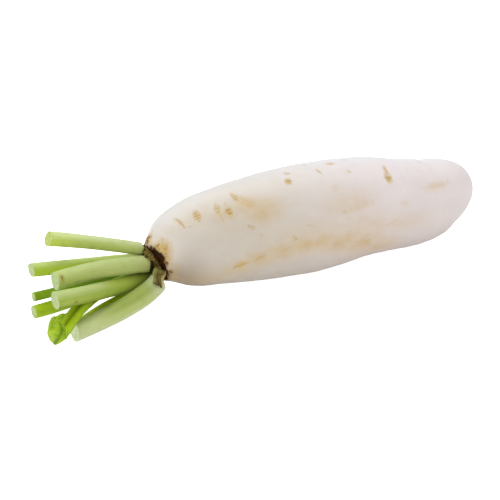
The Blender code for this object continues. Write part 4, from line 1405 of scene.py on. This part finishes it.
def leaf_material(mottle):
    """Bright green leaf with pale veins and yellower, uneven patches, and painted shade in its midrib fold.
    """
    material, look, shader = new_material("leaf_green", 0.42, 0.22, 0.25, (0.0010, 0.0022, 0.0003))
    inputs = {"Place": look.place(), "Size": 230.0, "Amount": 1.0}
    base = look.group(mottle, {**inputs, "Tone": (0.27, 0.46, 0.006), "Other tone": (0.56, 0.69, 0.035)})
    look.colour = base["Colour"]
    look.coat(look.product(look.read("vein"), 0.55), (0.58, 0.70, 0.14))
    look.coat(look.product(look.read("rim"), 0.6), (0.55, 0.64, 0.17))
    # painted shade in the midrib's fold
    look.coat(look.product(look.read("midrib_fold_and_shade"), 0.8), (0.15, 0.24, 0.004))
    look.finish(shader, base["Height"], 0.0004, 0.7)
    return material


def rind_material(mottle):
    """The crown: maroon black at the skin's edge, olive brown above, with tan glints on its rim."""
    material, look, shader = new_material("crown_rind", 0.60, 0.08)
    place = look.place()
    medium, small = (look.speckle(place, size) for size in (420.0, 1300.0))
    inputs = {"Place": place, "Size": 380.0, "Amount": 1.0}
    base = look.group(mottle, {**inputs, "Tone": (0.060, 0.036, 0.005), "Other tone": (0.20, 0.150, 0.026)})
    look.colour = base["Colour"]
    ragged = look.total((look.read("height"), 1000.0), (medium, 0.55), (small, 0.25))
    maroon = look.mix(look.ramp(small, -0.5, 1.0), (0.018, 0.006, 0.001), (0.085, 0.032, 0.005))
    look.coat(look.ramp(ragged, 1.2, 2.3, 1.0, 0.0), maroon)
    proud = look.ramp(look.read("proud"), 0.25, 0.75)
    glint = look.product(proud, look.ramp(medium, -0.1, 0.8, 0.0, 0.85), look.ramp(ragged, 2.0, 3.2))
    look.coat(glint, (0.50, 0.45, 0.20))
    look.finish(shader, base["Height"], 0.0006, 0.8)
    return material


def withered_material(fibres):
    """Dry leaf base: olive and brown, tan along its edges and almost black at its tip."""
    material, look, shader = new_material("withered_leaf", 0.66, 0.20)
    over = look.read("over")
    share = look.read("share")
    place = look.joined(share, over, 0.0)
    streaks = look.group(fibres, {"Place": place, "Fineness": 26.0, "Stretch": 0.18})
    look.colour = look.mix(streaks["Streak"], (0.115, 0.080, 0.010), (0.26, 0.225, 0.050))
    look.coat(look.ramp(over, 0.62, 0.95, 0.0, 0.75), (0.30, 0.34, 0.09))
    look.coat(look.ramp(over, 0.06, 0.20, 0.85, 0.0), (0.50, 0.41, 0.17))
    middle = look.product(look.band(over, 0.42, 0.30), look.ramp(share, 0.45, 0.9))
    look.coat(middle, (0.085, 0.048, 0.006))
    look.coat(look.ramp(share, 0.86, 0.99, 0.0, 0.8), (0.060, 0.030, 0.006))
    look.coat(look.ramp(share, 0.0, 0.16, 0.75, 0.0), (0.045, 0.018, 0.004))
    look.finish(shader, streaks["Height"], 0.0004, 0.8)
    return material


def attach(piece, material, nodes):
    """Give a piece its material, hang it on the root's body, and hide the model's parts that it stands for.
    """
    piece.data.materials.clear()
    piece.data.materials.append(material)
    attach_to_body(piece, "root")
    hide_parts(*nodes)


def make_studio():
    """A plain white floor that glows a little, with soft light all round and large lamps."""
    deselect()
    bpy.ops.mesh.primitive_plane_add(size=FLOOR_SIZE, location=(0, 0, -FLOOR_DROP))
    floor = bpy.context.object
    floor.name = "floor"
    select_only(floor)
    bpy.ops.object.transform_apply(location=True, rotation=True, scale=True)
    material, look, shader = new_material("floor_white", 0.9)
    look.put(shader.inputs["Base Color"], (0.92, 0.92, 0.92))
    look.put(shader.inputs["Emission Color"], (1.0, 1.0, 1.0))
    seen = look.node("LightPath").outputs["Is Camera Ray"]
    glow = look.maths("MULTIPLY_ADD", seen, FLOOR_GLOW_SEEN, FLOOR_GLOW)
    look.put(shader.inputs["Emission Strength"], glow)
    floor.data.materials.append(material)
    world = bpy.data.worlds.new("studio")
    world.use_nodes = True
    sky = world.node_tree.nodes["Background"]
    sky.inputs["Color"].default_value = (1.0, 1.0, 1.0, 1)
    sky.inputs["Strength"].default_value = SKY_STRENGTH
    scene = bpy.context.scene
    scene.world = world
    for name, place, size, power, tint in LAMPS:
        data = bpy.data.lights.new(name, "AREA")
        data.size = size
        data.energy = power
        data.color = tint
        lamp = bpy.data.objects.new(name, data)
        lamp.location = place
        lamp.rotation_euler = (Vector(place) - CAMERA_AIM).to_track_quat("Z", "Y").to_euler()
        scene.collection.objects.link(lamp)
    scene.view_settings.view_transform = "Standard"


def make_camera():
    """The camera at the photograph's viewing angle."""
    turn = math.radians(CAMERA_TURN)
    rise = math.radians(CAMERA_RISE)
    level = math.cos(rise)
    back = Vector((math.sin(turn) * level, -math.cos(turn) * level, math.sin(rise)))
    data = bpy.data.cameras.new("camera")
    data.lens = CAMERA_LENS
    camera = bpy.data.objects.new("camera", data)
    camera.location = CAMERA_AIM + CAMERA_FAR * back
    camera.rotation_euler = back.to_track_quat("Z", "Y").to_euler()
    bpy.context.scene.collection.objects.link(camera)
    bpy.context.scene.camera = camera


def main():
    """Every piece of the radish, with the camera and the studio."""
    make_camera()
    mottle = make_mottle()
    fibres = make_fibres()
    attach(model_root(), skin_material(mottle), ["root"])
    attach(model_collar(), rind_material(mottle), ["root"])
    for seed, name in enumerate(STALKS):
        stalk = sweep_stalk(name, seed)
        dress_stalk(stalk, name, seed)
        attach(stalk, stalk_material(name, fibres), [name])
    attach(model_blade(), leaf_material(mottle), [LEAFY])
    dry = withered_material(fibres)
    for seed, name in enumerate(WITHERED):
        attach(model_withered(name, seed), dry, [name])
    make_studio()


main()
bpy.context.view_layer.update()
